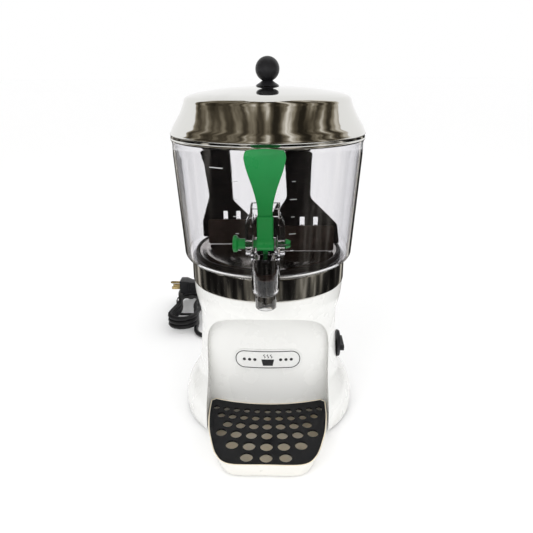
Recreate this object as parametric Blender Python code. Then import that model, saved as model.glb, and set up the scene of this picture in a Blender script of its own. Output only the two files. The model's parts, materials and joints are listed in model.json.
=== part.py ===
"""Heated sauce dispenser: a clear bowl with a piston tap and a stirring paddle on a white heated stand.

Shapes are written in machine coordinates: +Z up, -Y towards the tap, the paddle's axis on X = Y = 0
and the table at Z = 0, all in metres.  The last lines move the whole machine so that the middle of
its footprint stands on the origin.
"""

import math

import bmesh
import bpy
from mathutils import Matrix, Vector

# Driving dimensions ---------------------------------------------------------------------------
GAP = 0.0003                  # between touching pieces
ROUND = 44                    # sides of the large round pieces
BULGE_SIDES = 96              # sides of the whole circle the bay's back wall is an arc of
PEDESTAL_R = 0.1175
SHELL_WALL = 0.0030
SHELL_LOW = 0.0040
SHELL_TOP = 0.1940
BAY_HALF = 0.0800
BAY_TOP = 0.1710
BAY_SHOULDER = 0.1000         # height where the bay's upright sides turn into its arch
BAY_SQUARENESS = 2.7          # exponent of the arch: 2 is an ellipse, higher is squarer
BAY_FRONT = 0.0540            # distance of the bay's back wall from the axis
BAY_BOW_R = 0.2280            # radius the bay's back wall bulges with
COLLAR_R = 0.0997
COLLAR_TOP = SHELL_TOP + 0.0300
FLOOR_Z = 0.2315              # heated floor of the bowl
PAN_R = 0.0905
BOWL_OPENING_R = 0.0945
BOWL_LIP_R = 0.1166
BOWL_LIP_Z = 0.3800
LID_APEX = 0.4320
LID_SKIRT = 0.0075             # how far the lid's rim hangs down over the bowl's lip
KNOB_BALL_R = 0.0143
OVERALL_TOP = 0.4650
TRAY_REACH = 0.1740
TRAY_RIM = 0.0240
TAP_Y = -0.1235               # axis of the tap's tube
TAP_TIP = 0.2006
TAP_SEAT = 0.2175             # ledge above the nozzle that the piston's foot closes on
TAP_TUBE_R = 0.0155
TAP_TUBE_TOP = 0.2680
BORE_R = 0.0135
CHANNEL_OUT = 0.0155          # outer face of the two walls beside the lever
EAR_HALF = 0.0205             # outer face of the bosses round the pin
CHANNEL_HALF = 0.0133
EAR_TOP = 0.3180
PIVOT_Y = -0.1345
PIVOT_Z = 0.2790
PIN_R = 0.0045
TOE = Vector((0.0, 0.0085, -0.0185))   # lever toe, measured from the pivot
TOE_R = 0.0028
LEG_HALF = 0.0030
WASHER_HALF = 0.0003
PISTON_R = 0.0099
SEAL_LOW, SEAL_HIGH = 0.2368, 0.2430   # sliding seal round the piston
DIAL_Z = 0.0880
DIAL_R = 0.0190
DIAL_SEAT = 0.0950            # flat seat of the dial, distance from the axis
REAR_PAD = 0.0960             # flat rear panel, distance from the axis
SHAFT_R = 0.0040
CORD_R = 0.0040
GLAND_X = -0.0300
GLAND_Z = 0.0260


# Materials ------------------------------------------------------------------------------------
def material(name, color, roughness, metallic=0.0):
    """Principled material with one colour."""
    made = bpy.data.materials.new(name)
    made.use_nodes = True
    shader = made.node_tree.nodes["Principled BSDF"]
    shader.inputs["Base Color"].default_value = (*color, 1.0)
    shader.inputs["Roughness"].default_value = roughness
    shader.inputs["Metallic"].default_value = metallic
    return made


# Outlines -------------------------------------------------------------------------------------
def rounded(corners, steps=3):
    """Closed outline through (x, y, radius) corners, each one turned into an arc."""
    outline = []
    for index, (x, y, radius) in enumerate(corners):
        corner = Vector((x, y))
        if radius == 0:
            outline.append((x, y))
            continue
        before = (Vector(corners[index - 1][:2]) - corner).normalized()
        after = (Vector(corners[(index + 1) % len(corners)][:2]) - corner).normalized()
        half = before.angle(after) / 2
        centre = corner + (before + after).normalized() * radius / math.sin(half)
        reach = radius / math.tan(half)
        start = corner + before * reach - centre
        end = corner + after * reach - centre
        first = math.atan2(start.y, start.x)
        turn = (math.atan2(end.y, end.x) - first + math.pi) % math.tau - math.pi
        for step in range(steps + 1):
            angle = first + turn * step / steps
            outline.append((centre.x + radius * math.cos(angle), centre.y + radius * math.sin(angle)))
    return outline


def box_outline(half_x, half_y, radius, centre=(0.0, 0.0)):
    """Rounded rectangle about a centre."""
    signs = ((1, 1), (-1, 1), (-1, -1), (1, -1))
    return rounded([(centre[0] + sx * half_x, centre[1] + sy * half_y, radius) for sx, sy in signs])


def flowing(points, steps=4):
    """Smooth curve through the points (Catmull-Rom), ends included."""
    padded = [points[0], *points, points[-1]]
    curve = []
    for a, b, c, d in zip(padded, padded[1:], padded[2:], padded[3:]):
        for step in range(steps):
            t = step / steps
            weights = (-t + 2 * t**2 - t**3, 2 - 5 * t**2 + 3 * t**3, t + 4 * t**2 - 3 * t**3, t**3 - t**2)
            curve.append(tuple(
                sum(w * p[axis] for w, p in zip(weights, (a, b, c, d))) / 2 for axis in range(len(b))))
    curve.append(tuple(points[-1]))
    return curve


def thickened(path, thickness):
    """Closed outline of a sheet: the open path and its copy, moved to the path's left."""
    points = [Vector(point) for point in path]
    moved = []
    for index, point in enumerate(points):
        ahead = points[min(index + 1, len(points) - 1)] - point
        behind = point - points[max(index - 1, 0)]
        ahead = ahead if ahead.length else behind
        behind = behind if behind.length else ahead
        normals = [Vector((-side.y, side.x)).normalized() for side in (behind, ahead)]
        middle = (normals[0] + normals[1]).normalized()
        moved.append(point + middle * thickness / middle.dot(normals[0]))
    return [tuple(point) for point in points] + [tuple(point) for point in reversed(moved)]


def inset(outline, distance):
    """Closed counter-clockwise outline moved inwards by a distance."""
    points = [Vector(point) for point in outline]
    moved = []
    for index, point in enumerate(points):
        behind = (point - points[index - 1]).normalized()
        ahead = (points[(index + 1) % len(points)] - point).normalized()
        normals = [Vector((-side.y, side.x)) for side in (behind, ahead)]
        middle = (normals[0] + normals[1]).normalized()
        moved.append(tuple(point + middle * distance / middle.dot(normals[0])))
    return moved


# Solids ---------------------------------------------------------------------------------------
def revolve(outline, segments=ROUND):
    """Solid swept round the Z axis by a closed (radius, z) outline."""
    mesh = bmesh.new()
    rings = []
    for radius, z in outline:
        count = 1 if radius < 1e-7 else segments
        angles = [math.tau * step / segments for step in range(count)]
        rings.append([mesh.verts.new((radius * math.cos(a), radius * math.sin(a), z)) for a in angles])
    for low, high in zip(rings, rings[1:] + rings[:1]):
        if len(low) == len(high) == 1:
            continue
        for step in range(segments):
            after = (step + 1) % segments
            corners = [low[step % len(low)], low[after % len(low)], high[after % len(high)],
                       high[step % len(high)]]
            mesh.faces.new(dict.fromkeys(corners))
    bmesh.ops.recalc_face_normals(mesh, faces=mesh.faces)
    return mesh


def cylinder(radius, low, high, segments=24, bevel=0.0):
    """Solid cylinder on the Z axis with chamfered ends."""
    return revolve([(0, low), (radius - bevel, low), (radius, low + bevel),
                    (radius, high - bevel), (radius - bevel, high), (0, high)] if bevel else
                   [(0, low), (radius, low), (radius, high), (0, high)], segments)


def loft(low_outline, low, high_outline, high):
    """Solid between two outlines with the same number of points, drawn in XY."""
    mesh = bmesh.new()
    bottom = [mesh.verts.new((x, y, low)) for x, y in low_outline]
    top = [mesh.verts.new((x, y, high)) for x, y in high_outline]
    mesh.faces.new(bottom)
    mesh.faces.new(top)
    for index in range(len(bottom)):
        mesh.faces.new((bottom[index - 1], bottom[index], top[index], top[index - 1]))
    bmesh.ops.recalc_face_normals(mesh, faces=mesh.faces)
    return mesh


def prism(outline, low, high):
    """Solid with one outline drawn in XY, between two heights."""
    return loft(outline, low, outline, high)


def block(low, high, radius=0.0):
    """Box between two corners; its upright edges are rounded."""
    centre = [(a + b) / 2 for a, b in zip(low, high)]
    half = [(b - a) / 2 for a, b in zip(low, high)]
    return prism(box_outline(half[0], half[1], radius, centre[:2]), low[2], high[2])


def moved(mesh, offset=(0, 0, 0), turn=None):
    """The same mesh, turned and then shifted."""
    mesh.transform(Matrix.Translation(offset) @ (turn or Matrix.Identity(4)))
    return mesh


def facing_front(mesh):
    """Stand an XY outline up: X stays, Y becomes Z, and Z becomes -Y."""
    return moved(mesh, turn=Matrix.Rotation(math.pi / 2, 4, "X"))


def facing_side(mesh):
    """Stand an XY outline up sideways: X becomes Y, Y becomes Z, and Z becomes X."""
    return moved(mesh, turn=Matrix(((0, 0, 1, 0), (1, 0, 0, 0), (0, 1, 0, 0), (0, 0, 0, 1))))


def front_prism(outline, near, far):
    """Solid with an outline drawn in XZ, between two values of Y."""
    return facing_front(prism(outline, -far, -near))


def side_prism(outline, low, high):
    """Solid with an outline drawn in YZ, between two values of X."""
    return facing_side(prism(outline, low, high))


def rod_along_x(radius, low, high, y, z, segments=24):
    """Cylinder along X."""
    return moved(facing_side(cylinder(radius, low, high, segments)), (0, y, z))


def rod_along_y(radius, low, high, x, z, segments=24):
    """Cylinder along Y."""
    return moved(facing_front(cylinder(radius, -high, -low, segments)), (x, 0, z))


def as_object(mesh, name):
    """Scene object that holds a mesh."""
    data = bpy.data.meshes.new(name)
    mesh.to_mesh(data)
    mesh.free()
    made = bpy.data.objects.new(name, data)
    bpy.context.collection.objects.link(made)
    return made


def boolean(operation, base, *others):
    """Exact boolean of a mesh with others, one after another."""
    for other in others:
        target, tool = as_object(base, "target"), as_object(other, "tool")
        modifier = target.modifiers.new("boolean", "BOOLEAN")
        modifier.operation = operation
        modifier.solver = "EXACT"
        modifier.object = tool
        evaluated = target.evaluated_get(bpy.context.evaluated_depsgraph_get())
        base = bmesh.new()
        base.from_mesh(evaluated.to_mesh())
        for used in (target, tool):
            bpy.data.objects.remove(used)
    return base


def cut(base, *tools):
    """Base without the tools."""
    return boolean("DIFFERENCE", base, *tools)


def join(base, *tools):
    """Base and tools as one solid."""
    return boolean("UNION", base, *tools)


def group(meshes):
    """Several solids that don't touch each other, as one mesh."""
    whole = bmesh.new()
    for mesh in meshes:
        data = bpy.data.meshes.new("piece")
        mesh.to_mesh(data)
        mesh.free()
        whole.from_mesh(data)
        bpy.data.meshes.remove(data)
    return whole


def softened(mesh, width, segments=2, angle=40):
    """Mesh with its sharp edges rounded over."""
    bmesh.ops.dissolve_limit(mesh, angle_limit=math.radians(0.5), verts=mesh.verts, edges=mesh.edges)
    sharp = [edge for edge in mesh.edges if edge.calc_face_angle(0) > math.radians(angle)]
    bmesh.ops.bevel(mesh, geom=sharp, offset=width, segments=segments, affect="EDGES", profile=0.5,
                    clamp_overlap=True)
    return mesh


def tube(name, points, radius, resolution=2):
    """Round bar along a smooth path, as a curve object turned into a mesh."""
    curve = bpy.data.curves.new(name, "CURVE")
    curve.dimensions = "3D"
    curve.bevel_depth = radius
    curve.bevel_resolution = resolution
    curve.use_fill_caps = True
    spline = curve.splines.new("POLY")
    spline.points.add(len(points) - 1)
    for slot, point in zip(spline.points, points):
        slot.co = (*point, 1.0)
    holder = bpy.data.objects.new(name, curve)
    bpy.context.collection.objects.link(holder)
    evaluated = holder.evaluated_get(bpy.context.evaluated_depsgraph_get())
    mesh = bmesh.new()
    mesh.from_mesh(evaluated.to_mesh())
    bpy.data.objects.remove(holder)
    bmesh.ops.remove_doubles(mesh, verts=mesh.verts, dist=1e-6)
    bmesh.ops.recalc_face_normals(mesh, faces=mesh.faces)
    return mesh


PARTS = []


def part(name, mesh, look, origin=(0, 0, 0)):
    """Named sub-part with its own material, its origin put where it turns or slides."""
    mesh.transform(Matrix.Translation(-Vector(origin)))
    made = as_object(mesh, name)
    made.location = origin
    made.data.materials.append(look)
    made.data.shade_smooth()
    made.data.set_sharp_from_angle(angle=math.radians(35))
    PARTS.append(made)
    return made


# Stand ----------------------------------------------------------------------------------------
def shell_path(steps):
    """Outer side of the stand from its foot to its top, as (radius, z)."""
    return flowing([(0.1168, SHELL_LOW), (PEDESTAL_R, 0.012), (0.1164, 0.028), (0.1118, 0.041),
                    (0.1048, 0.0525),
                    (0.0984, 0.0625), (0.0957, 0.075), (0.0940, 0.090), (0.0925, 0.114), (0.0918, 0.137),
                    (0.0925, 0.152), (0.0953, 0.1647), (0.0976, 0.177), (0.0986, SHELL_TOP)], steps)


def bay_arch(extra, steps):
    """Mouth of the bay as (x, z), counter-clockwise: upright sides below a squarish arch."""
    half, rise = BAY_HALF + extra, BAY_TOP + extra - BAY_SHOULDER
    arch = []
    for step in range(steps + 1):
        angle = math.pi * step / steps
        across, up = math.cos(angle), math.sin(angle)
        x = math.copysign(abs(across) ** (2 / BAY_SQUARENESS), across)
        arch.append((half * x, BAY_SHOULDER + rise * up ** (2 / BAY_SQUARENESS)))
    return [(half, -0.02), *arch, (-half, -0.02)]


def bay_space(extra=0.0):
    """Space taken out of the front of the stand for the cup and the drip tray, grown by extra."""
    front = front_prism(bay_arch(extra, 14), -0.150, -0.030)
    bulge = moved(cylinder(BAY_BOW_R, -0.03, 0.20, BULGE_SIDES), (0, BAY_BOW_R - BAY_FRONT + extra, 0))
    return cut(front, bulge)


def around(angle, radius):
    """Point on a circle about the machine's axis."""
    return radius * math.cos(math.radians(angle)), radius * math.sin(math.radians(angle))


PLATE_SCREWS = [around(angle, 0.1100) for angle in (-8, 60, 120, 188)]
FEET = [around(angle, 0.0985) for angle in (-18, 40, 140, 198)]
PLATE_LOW, PLATE_HIGH = 0.0070, 0.0085
SWITCH_X, LAMP_X, PANEL_Z = -0.014, 0.014, 0.112
SWITCH_HALF = (0.0068, 0.0100)
LAMP_R = 0.0050


def body_shell(look):
    """White moulded stand with the cup bay, the dial seat, the rear panel and the cooling slots."""
    outer = revolve([(0, SHELL_LOW), *shell_path(1), (0, SHELL_TOP)], ROUND)
    path = [(radius - SHELL_WALL, z) for radius, z in shell_path(1)[::2] + shell_path(1)[-1:]]
    inner = revolve([(0, -0.01), (path[0][0], -0.01), *path, (path[-1][0], 0.21), (0, 0.21)], ROUND)
    rear_pad = block((-0.034, 0.080, PANEL_Z - 0.022), (0.034, REAR_PAD, PANEL_Z + 0.022), 0.002)
    hollow = cut(inner, bay_space(SHELL_WALL), block((-0.033, 0.0895, 0.09), (0.033, 0.11, 0.134)))
    shell = cut(join(outer, rear_pad), bay_space(), hollow)
    bosses = [moved(cylinder(0.0050, PLATE_HIGH + GAP, 0.024, 12), (x, y, 0)) for x, y in PLATE_SCREWS]
    shell = join(shell, group(bosses))
    holes = [moved(cylinder(0.0017, 0, 0.020, 10), (x, y, 0)) for x, y in PLATE_SCREWS]
    seat_r = DIAL_R + 0.0015
    seat = revolve([(0, 0.080), (0.0045, 0.080), (0.0045, DIAL_SEAT), (seat_r, DIAL_SEAT), (seat_r, 0.12),
                    (0, 0.12)], 24)
    holes.append(moved(facing_side(seat), (0, 0, DIAL_Z)))
    holes.append(block((SWITCH_X - SWITCH_HALF[0], 0.07, PANEL_Z - SWITCH_HALF[1]),
                       (SWITCH_X + SWITCH_HALF[0], 0.12, PANEL_Z + SWITCH_HALF[1])))
    holes.append(rod_along_y(LAMP_R, 0.07, 0.12, LAMP_X, PANEL_Z, 20))
    holes.append(rod_along_y(0.0065, 0.10, 0.13, GLAND_X, GLAND_Z, 20))
    slot = box_outline(0.0015, 0.009, 0)
    for column in range(-3, 4):
        shifted = [(x + column * 0.009, z + 0.165) for x, z in slot]
        holes.append(front_prism(shifted, 0.07, 0.12))
    return part("body_shell", cut(shell, group(holes)), look)


def base_pieces(steel, rubber, screw_look):
    """Steel bottom plate with its screws and push-in rubber feet."""
    plate = cut(cylinder(0.1136, PLATE_LOW, PLATE_HIGH, ROUND), bay_space(SHELL_WALL + GAP))
    holes = [moved(cylinder(0.0030, 0, 0.02, 16), (x, y, 0)) for x, y in FEET]
    holes += [moved(cylinder(0.0019, 0, 0.02, 10), (x, y, 0)) for x, y in PLATE_SCREWS]
    part("bottom_plate", cut(plate, group(holes)), steel)
    for number, (x, y) in enumerate(FEET, 1):
        under = PLATE_LOW - GAP
        foot = revolve([(0, 0), (0.0070, 0), (0.0080, 0.001), (0.0074, under), (0.0026, under),
                        (0.0026, PLATE_HIGH + GAP), (0.0040, PLATE_HIGH + GAP), (0.0022, 0.0125),
                        (0, 0.0125)], 16)
        part(f"foot_{number}", moved(foot, (x, y, 0)), rubber)
    for number, (x, y) in enumerate(PLATE_SCREWS, 1):
        part(f"plate_screw_{number}", moved(screw(0.0034, 0.0016, 0.0110),
                                            (x, y, PLATE_LOW - GAP)), screw_look)


def screw(head_r, shank_r, length):
    """Slotted pan-head screw pointing up, its head's bearing face at z = 0."""
    body = revolve([(0, -0.0022), (head_r * 0.7, -0.0022), (head_r, -0.0010), (head_r, 0), (shank_r, 0),
                    (shank_r, length), (0, length)], 10)
    return cut(body, block((-head_r * 2, -0.0004, -0.01), (head_r * 2, 0.0004, -0.0012)))


def badge(look):
    """Plain plate that follows the bulge of the bay's back wall."""
    outline = box_outline(0.045, 0.0150, 0.006, (0, 0.092))
    blank = front_prism(outline, -0.070, -0.045)
    centre = (0, BAY_BOW_R - BAY_FRONT, 0)
    outside = moved(cylinder(BAY_BOW_R + GAP + 0.0008, 0, 0.2, BULGE_SIDES), centre)
    inside = moved(cylinder(BAY_BOW_R + GAP, -0.1, 0.3, BULGE_SIDES), centre)
    plate = cut(boolean("INTERSECT", blank, outside), inside)
    return part("badge", plate, look)


# Drip tray ------------------------------------------------------------------------------------
def tray_outline():
    """Plan of the tray's rim, counter-clockwise, mirror-symmetric about X = 0."""
    side = flowing([(0.0370, -TRAY_REACH), (0.0520, -0.1686), (0.0600, -0.1580), (0.0645, -0.1480),
                    (0.0692, -0.1320), (0.0747, -0.1090), (0.0782, -0.0780), (0.0788, -0.0485)], 1)
    front = BAY_FRONT + 0.0012
    bow = BAY_BOW_R + 0.0012
    back = []
    for step in range(1, 8):
        x = 0.0788 * (1 - step / 4)
        back.append((x, -front + bow - math.sqrt(bow**2 - x**2)))
    return side + back + [(-x, y) for x, y in reversed(side)]


GRILLE_ROWS = ((0.0724, 11, 0.0139, 0.00425), (0.0871, 9, 0.0154, 0.00520), (0.1038, 7, 0.0171, 0.00620),
               (0.1218, 7, 0.0193, 0.00690), (0.1420, 5, 0.0211, 0.00760), (0.1615, 3, 0.0231, 0.00760))
GRILLE_BOW_R = 0.300          # the rows of holes curve about a centre behind the tray


def drip_tray(tray_look, grille_look):
    """Basin that slides out and the perforated plate that drops into it."""
    rim = tray_outline()
    foot = [(x * 0.90, -0.0560 + (y + 0.0560) * 0.93) for x, y in rim]
    basin = loft(foot, 0.0010, rim, TRAY_RIM)
    ledge = prism(inset(rim, 0.0016), TRAY_RIM - 0.0028, 0.04)
    inner_foot = inset(foot, 0.0028)
    hollow = loft(inner_foot, 0.0032, inset(rim, 0.0042), TRAY_RIM)
    part("drip_tray", cut(basin, ledge, hollow), tray_look)
    grille = prism(inset(rim, 0.0016 + GAP), TRAY_RIM - 0.0025, TRAY_RIM - 0.0002)
    holes = []
    for reach, count, pitch, radius in GRILLE_ROWS:
        for index in range(count):
            turn = (index - (count - 1) / 2) * pitch / GRILLE_BOW_R
            spot = (GRILLE_BOW_R * math.sin(turn), -reach + GRILLE_BOW_R * (1 - math.cos(turn)), 0)
            holes.append(moved(cylinder(radius, 0.01, 0.04, 10), spot))
    part("drip_grille", cut(grille, group(holes)), grille_look)


# Heated base ----------------------------------------------------------------------------------
def heated_base(steel, pan_look, gasket_look, element_look):
    """Steel collar, heated pan, bowl gasket and the tubular heating element under the pan."""
    low = SHELL_TOP + GAP
    collar_path = [(0.0974, COLLAR_TOP), *flowing([(0.0986, COLLAR_TOP - 0.0001),
                                                   (0.0995, COLLAR_TOP - 0.0012),
                                                   (COLLAR_R, COLLAR_TOP - 0.0030)], 1), (0.0995, low)]
    part("steel_collar", revolve(thickened(collar_path, -0.0009), ROUND), steel)
    pan = [(0.0105, FLOOR_Z - 0.0012), (0.0105, FLOOR_Z), (PAN_R - 0.001, FLOOR_Z), (PAN_R, FLOOR_Z - 0.001),
           (PAN_R, low + 0.0012), (0.0970, low + 0.0012), (0.0970, low), (PAN_R - 0.0012, low),
           (PAN_R - 0.0012, FLOOR_Z - 0.0012)]
    part("heating_pan", revolve(pan, ROUND), pan_look)
    gasket_low = COLLAR_TOP + 0.0004
    gasket = rounded([(PAN_R + GAP, gasket_low, 0), (BOWL_OPENING_R - GAP, gasket_low, 0),
                      (BOWL_OPENING_R - GAP, FLOOR_Z + 0.0016, 0.0012), (PAN_R + GAP, FLOOR_Z + 0.0016,
                                                                         0.0012)], 1)
    part("bowl_gasket", revolve(gasket, ROUND), gasket_look)
    tube_r, bend = 0.0035, 0.060
    height = FLOOR_Z - 0.0012 - GAP - tube_r
    ring = [(*around(angle, bend), height) for angle in range(-75, 256, 15)]
    start = [(*around(-75, bend), height - drop) for drop in (0.040, 0.009)]
    finish = [(*around(255, bend), height - drop) for drop in (0.009, 0.040)]
    part("heating_element", tube("element", start + ring + finish, tube_r, 2), element_look)


# Drive ----------------------------------------------------------------------------------------
BRACKET_LOW, BRACKET_HIGH = 0.1580, 0.1600
BUSH_R = 0.0102
POSTS = ((-0.040, 0.028), (0.040, 0.028))
GEARBOX_TOP = BRACKET_LOW - GAP
GEARBOX_LOW = GEARBOX_TOP - 0.028
SHAFT_TOP = 0.2600


def drive_pieces(steel, cast, can_look, bush_look, seal_look, screw_look):
    """Gear motor on its bracket, with the posts that hang it from the pan and the shaft's bush and seal."""
    bracket = block((-0.060, -0.036, BRACKET_LOW), (0.060, 0.040, BRACKET_HIGH), 0.006)
    holes = [moved(cylinder(0.0023, 0.15, 0.17, 24), (x, y, 0)) for x, y in POSTS]
    part("motor_bracket", cut(bracket, group([*holes, cylinder(0.0080, 0.15, 0.17)])), steel)
    for number, (x, y) in enumerate(POSTS, 1):
        top = FLOOR_Z - 0.0012 - GAP
        post = cut(moved(cylinder(0.0042, BRACKET_HIGH + GAP, top, 6), (x, y, 0)),
                   moved(cylinder(0.0022, 0.15, 0.175, 24), (x, y, 0)))
        part(f"motor_post_{number}", post, steel)
        fixing = moved(screw(0.0038, 0.0019, 0.0120), (x, y, BRACKET_LOW - GAP))
        part(f"bracket_screw_{number}", fixing, screw_look)
    gearbox = softened(block((-0.034, -0.030, GEARBOX_LOW), (0.034, 0.030, GEARBOX_TOP), 0.006), 0.0015)
    part("gearbox", cut(gearbox, cylinder(SHAFT_R + 0.0001, GEARBOX_TOP - 0.016, 0.2)), cast)
    can = revolve(rounded([(0, GEARBOX_LOW - GAP, 0), (0.027, GEARBOX_LOW - GAP, 0.001),
                           (0.027, 0.072, 0.004),
                           (0.010, 0.072, 0), (0.010, 0.068, 0), (0, 0.068, 0)], 2), 32)
    part("motor_can", can, can_look)
    bush = revolve([(SHAFT_R + 0.0001, 0.2180), (BUSH_R - 0.001, 0.2180), (BUSH_R - GAP, 0.2195),
                    (BUSH_R, FLOOR_Z - 0.0016), (BUSH_R, FLOOR_Z + GAP), (0.0120, FLOOR_Z + GAP),
                    (0.0110, FLOOR_Z + 0.0015), (SHAFT_R + 0.0001, FLOOR_Z + 0.0015)], 24)
    part("shaft_bush", bush, bush_look)
    seal_low = FLOOR_Z + 0.0015 + GAP
    seal = revolve([(SHAFT_R + 0.0001, seal_low), (0.0095, seal_low), (0.0085, seal_low + 0.0022),
                    (SHAFT_R + 0.0001, seal_low + 0.0030)], 24)
    part("shaft_seal", seal, seal_look)
    shaft = cylinder(SHAFT_R, GEARBOX_TOP - 0.0155, SHAFT_TOP, 24, 0.0006)
    flat = block((-0.01, SHAFT_R - 0.0010, SHAFT_TOP - 0.016), (0.01, 0.01, 0.3))
    part("drive_shaft", cut(shaft, flat), steel)


PADDLE_LOW = 0.2405
PADDLE_TOP = 0.3640
BLADE_HALF = 0.0020
LEFT_BLADE_Y, RIGHT_BLADE_Y = 0.0140, -0.0140


def blade(corners, y):
    """Upright blade in a plane parallel to XZ."""
    return front_prism(rounded(corners, 3), y - BLADE_HALF, y + BLADE_HALF)


def paddle(look, scraper_look):
    """Two-armed stirring paddle on its hub, and the scraper clipped to each arm."""
    left = blade([(0.0010, PADDLE_LOW + GAP, 0), (0.0010, 0.2610, 0.003), (-0.0200, 0.2640, 0.004),
                  (-0.0460, 0.2900, 0.010),
                  (-0.0480, PADDLE_TOP, 0.004), (-0.0860, PADDLE_TOP, 0.004), (-0.0770, 0.2960, 0.020),
                  (-0.0875, 0.2620, 0.008), (-0.0875, PADDLE_LOW + GAP, 0.002)], LEFT_BLADE_Y)
    right = blade([(-0.0010, PADDLE_LOW + GAP, 0), (0.0913, PADDLE_LOW + GAP, 0.002),
                   (0.0880, 0.2660, 0.008), (0.0780, 0.2760, 0.010),
                   (0.0530, 0.3000, 0.012), (0.0540, PADDLE_TOP, 0.004), (0.0200, PADDLE_TOP, 0.004),
                   (0.0240, 0.3000, 0.012), (-0.0010, 0.2620, 0.004)], RIGHT_BLADE_Y)
    hub = cylinder(0.0142, PADDLE_LOW, 0.2700, 28, 0.001)
    whole = join(hub, left, right)
    windows = []
    for middle, y in ((-0.0480, LEFT_BLADE_Y), (0.0520, RIGHT_BLADE_Y)):
        for side in (-1, 1):
            outline = box_outline(0.0030, 0.0070, 0.0015, (middle + side * 0.0085, 0.2690))
            windows.append(front_prism(outline, y - 0.01, y + 0.01))
    socket = cut(cylinder(SHAFT_R + GAP, 0.0, SHAFT_TOP + GAP),
                 block((-0.01, SHAFT_R - 0.0010 + GAP, SHAFT_TOP - 0.0155), (0.01, 0.01, 0.3)))
    part("paddle", cut(whole, group([*windows, socket])), look)
    for name, middle, y in (("scraper_left", -0.0480, LEFT_BLADE_Y - BLADE_HALF - GAP - 0.0015),
                            ("scraper_right", 0.0520, RIGHT_BLADE_Y - BLADE_HALF - GAP - 0.0015)):
        outline = box_outline(0.0320, 0.0165, 0.003, (middle, FLOOR_Z + 0.0006 + 0.0165))
        plate = front_prism(outline, y - 0.0015, y + 0.0015)
        hooks = []
        for side in (-1, 1):
            x = middle + side * 0.0085
            hooks.append(block((x - 0.0020, y, 0.2628), (x + 0.0020, y + 0.0060, 0.2646)))
        part(name, join(plate, group(hooks)), scraper_look)


# Bowl and tap ---------------------------------------------------------------------------------
def bowl(look):
    """Clear bowl, open below where it sits over the gasket, with the tap's tube and ears in one piece."""
    low = COLLAR_TOP + GAP
    outline = rounded([(BOWL_OPENING_R, low, 0), (0.1078, low, 0.009), (0.1160, 0.3560, 0),
                       (0.1160, 0.3690, 0),
                       (BOWL_LIP_R, 0.3705, 0), (BOWL_LIP_R, BOWL_LIP_Z, 0), (0.1136, BOWL_LIP_Z, 0),
                       (0.1130, 0.3560, 0), (0.1050, low + 0.0030, 0.006), (BOWL_OPENING_R, low + 0.0030,
                                                                            0)], 3)
    vessel = revolve(outline, ROUND)
    inside = revolve([(0, 0.20), (0.100, 0.20), (0.1052, 0.236), (0.1132, 0.3560), (0.1132, 0.40),
                      (0, 0.40)], ROUND)
    tap = moved(revolve([(0, TAP_TIP), (0.0111, TAP_TIP), (0.0117, TAP_TIP + 0.001), (0.0121, 0.2180),
                         (TAP_TUBE_R, 0.2225), (TAP_TUBE_R, TAP_TUBE_TOP), (0, TAP_TUBE_TOP)], 32),
                (0, TAP_Y, 0))
    ears = side_prism(rounded([(-0.1060, TAP_TUBE_TOP - 0.006, 0), (-0.1060, EAR_TOP, 0),
                               (-0.1300, EAR_TOP, 0.006),
                               (-0.1420, 0.3000, 0.010), (-0.1420, TAP_TUBE_TOP - 0.006, 0.004)]),
                      -CHANNEL_OUT, CHANNEL_OUT)
    boss = [(-EAR_HALF, 0.2685), (EAR_HALF, 0.2685), (EAR_HALF, 0.3010), (CHANNEL_OUT + 0.001, 0.3080),
            (-CHANNEL_OUT - 0.001, 0.3080), (-EAR_HALF, 0.3010)]
    tap = cut(join(tap, ears, front_prism(boss, -0.1410, -0.1150)), inside)
    channel = block((-CHANNEL_HALF, -0.160, TAP_TUBE_TOP), (CHANNEL_HALF, -0.1170, 0.34))
    shoulder = block((-0.03, -0.160, 0.25), (0.03, -0.1385, TAP_TUBE_TOP))
    bar = block((-CHANNEL_OUT + 0.001, -0.1215, 0.3045), (CHANNEL_OUT - 0.001, -0.1160, 0.3125), 0.001)
    bore = moved(revolve([(0, 0.19), (0.0085, 0.19), (0.0085, TAP_SEAT), (PISTON_R + GAP, TAP_SEAT),
                          (BORE_R, 0.2240),
                          (BORE_R, 0.2800), (0, 0.2800)], 32), (0, TAP_Y, 0))
    port = block((-0.0070, -0.1230, low + 0.0037), (0.0070, -0.0950, SEAL_LOW - 0.0012), 0.001)
    pin_hole = rod_along_x(PIN_R + 0.0001, -0.03, 0.03, PIVOT_Y, PIVOT_Z)
    tap = join(cut(tap, channel, shoulder), bar)
    return part("bowl", cut(join(vessel, tap), group([join(bore, port), pin_hole])), look)


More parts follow.
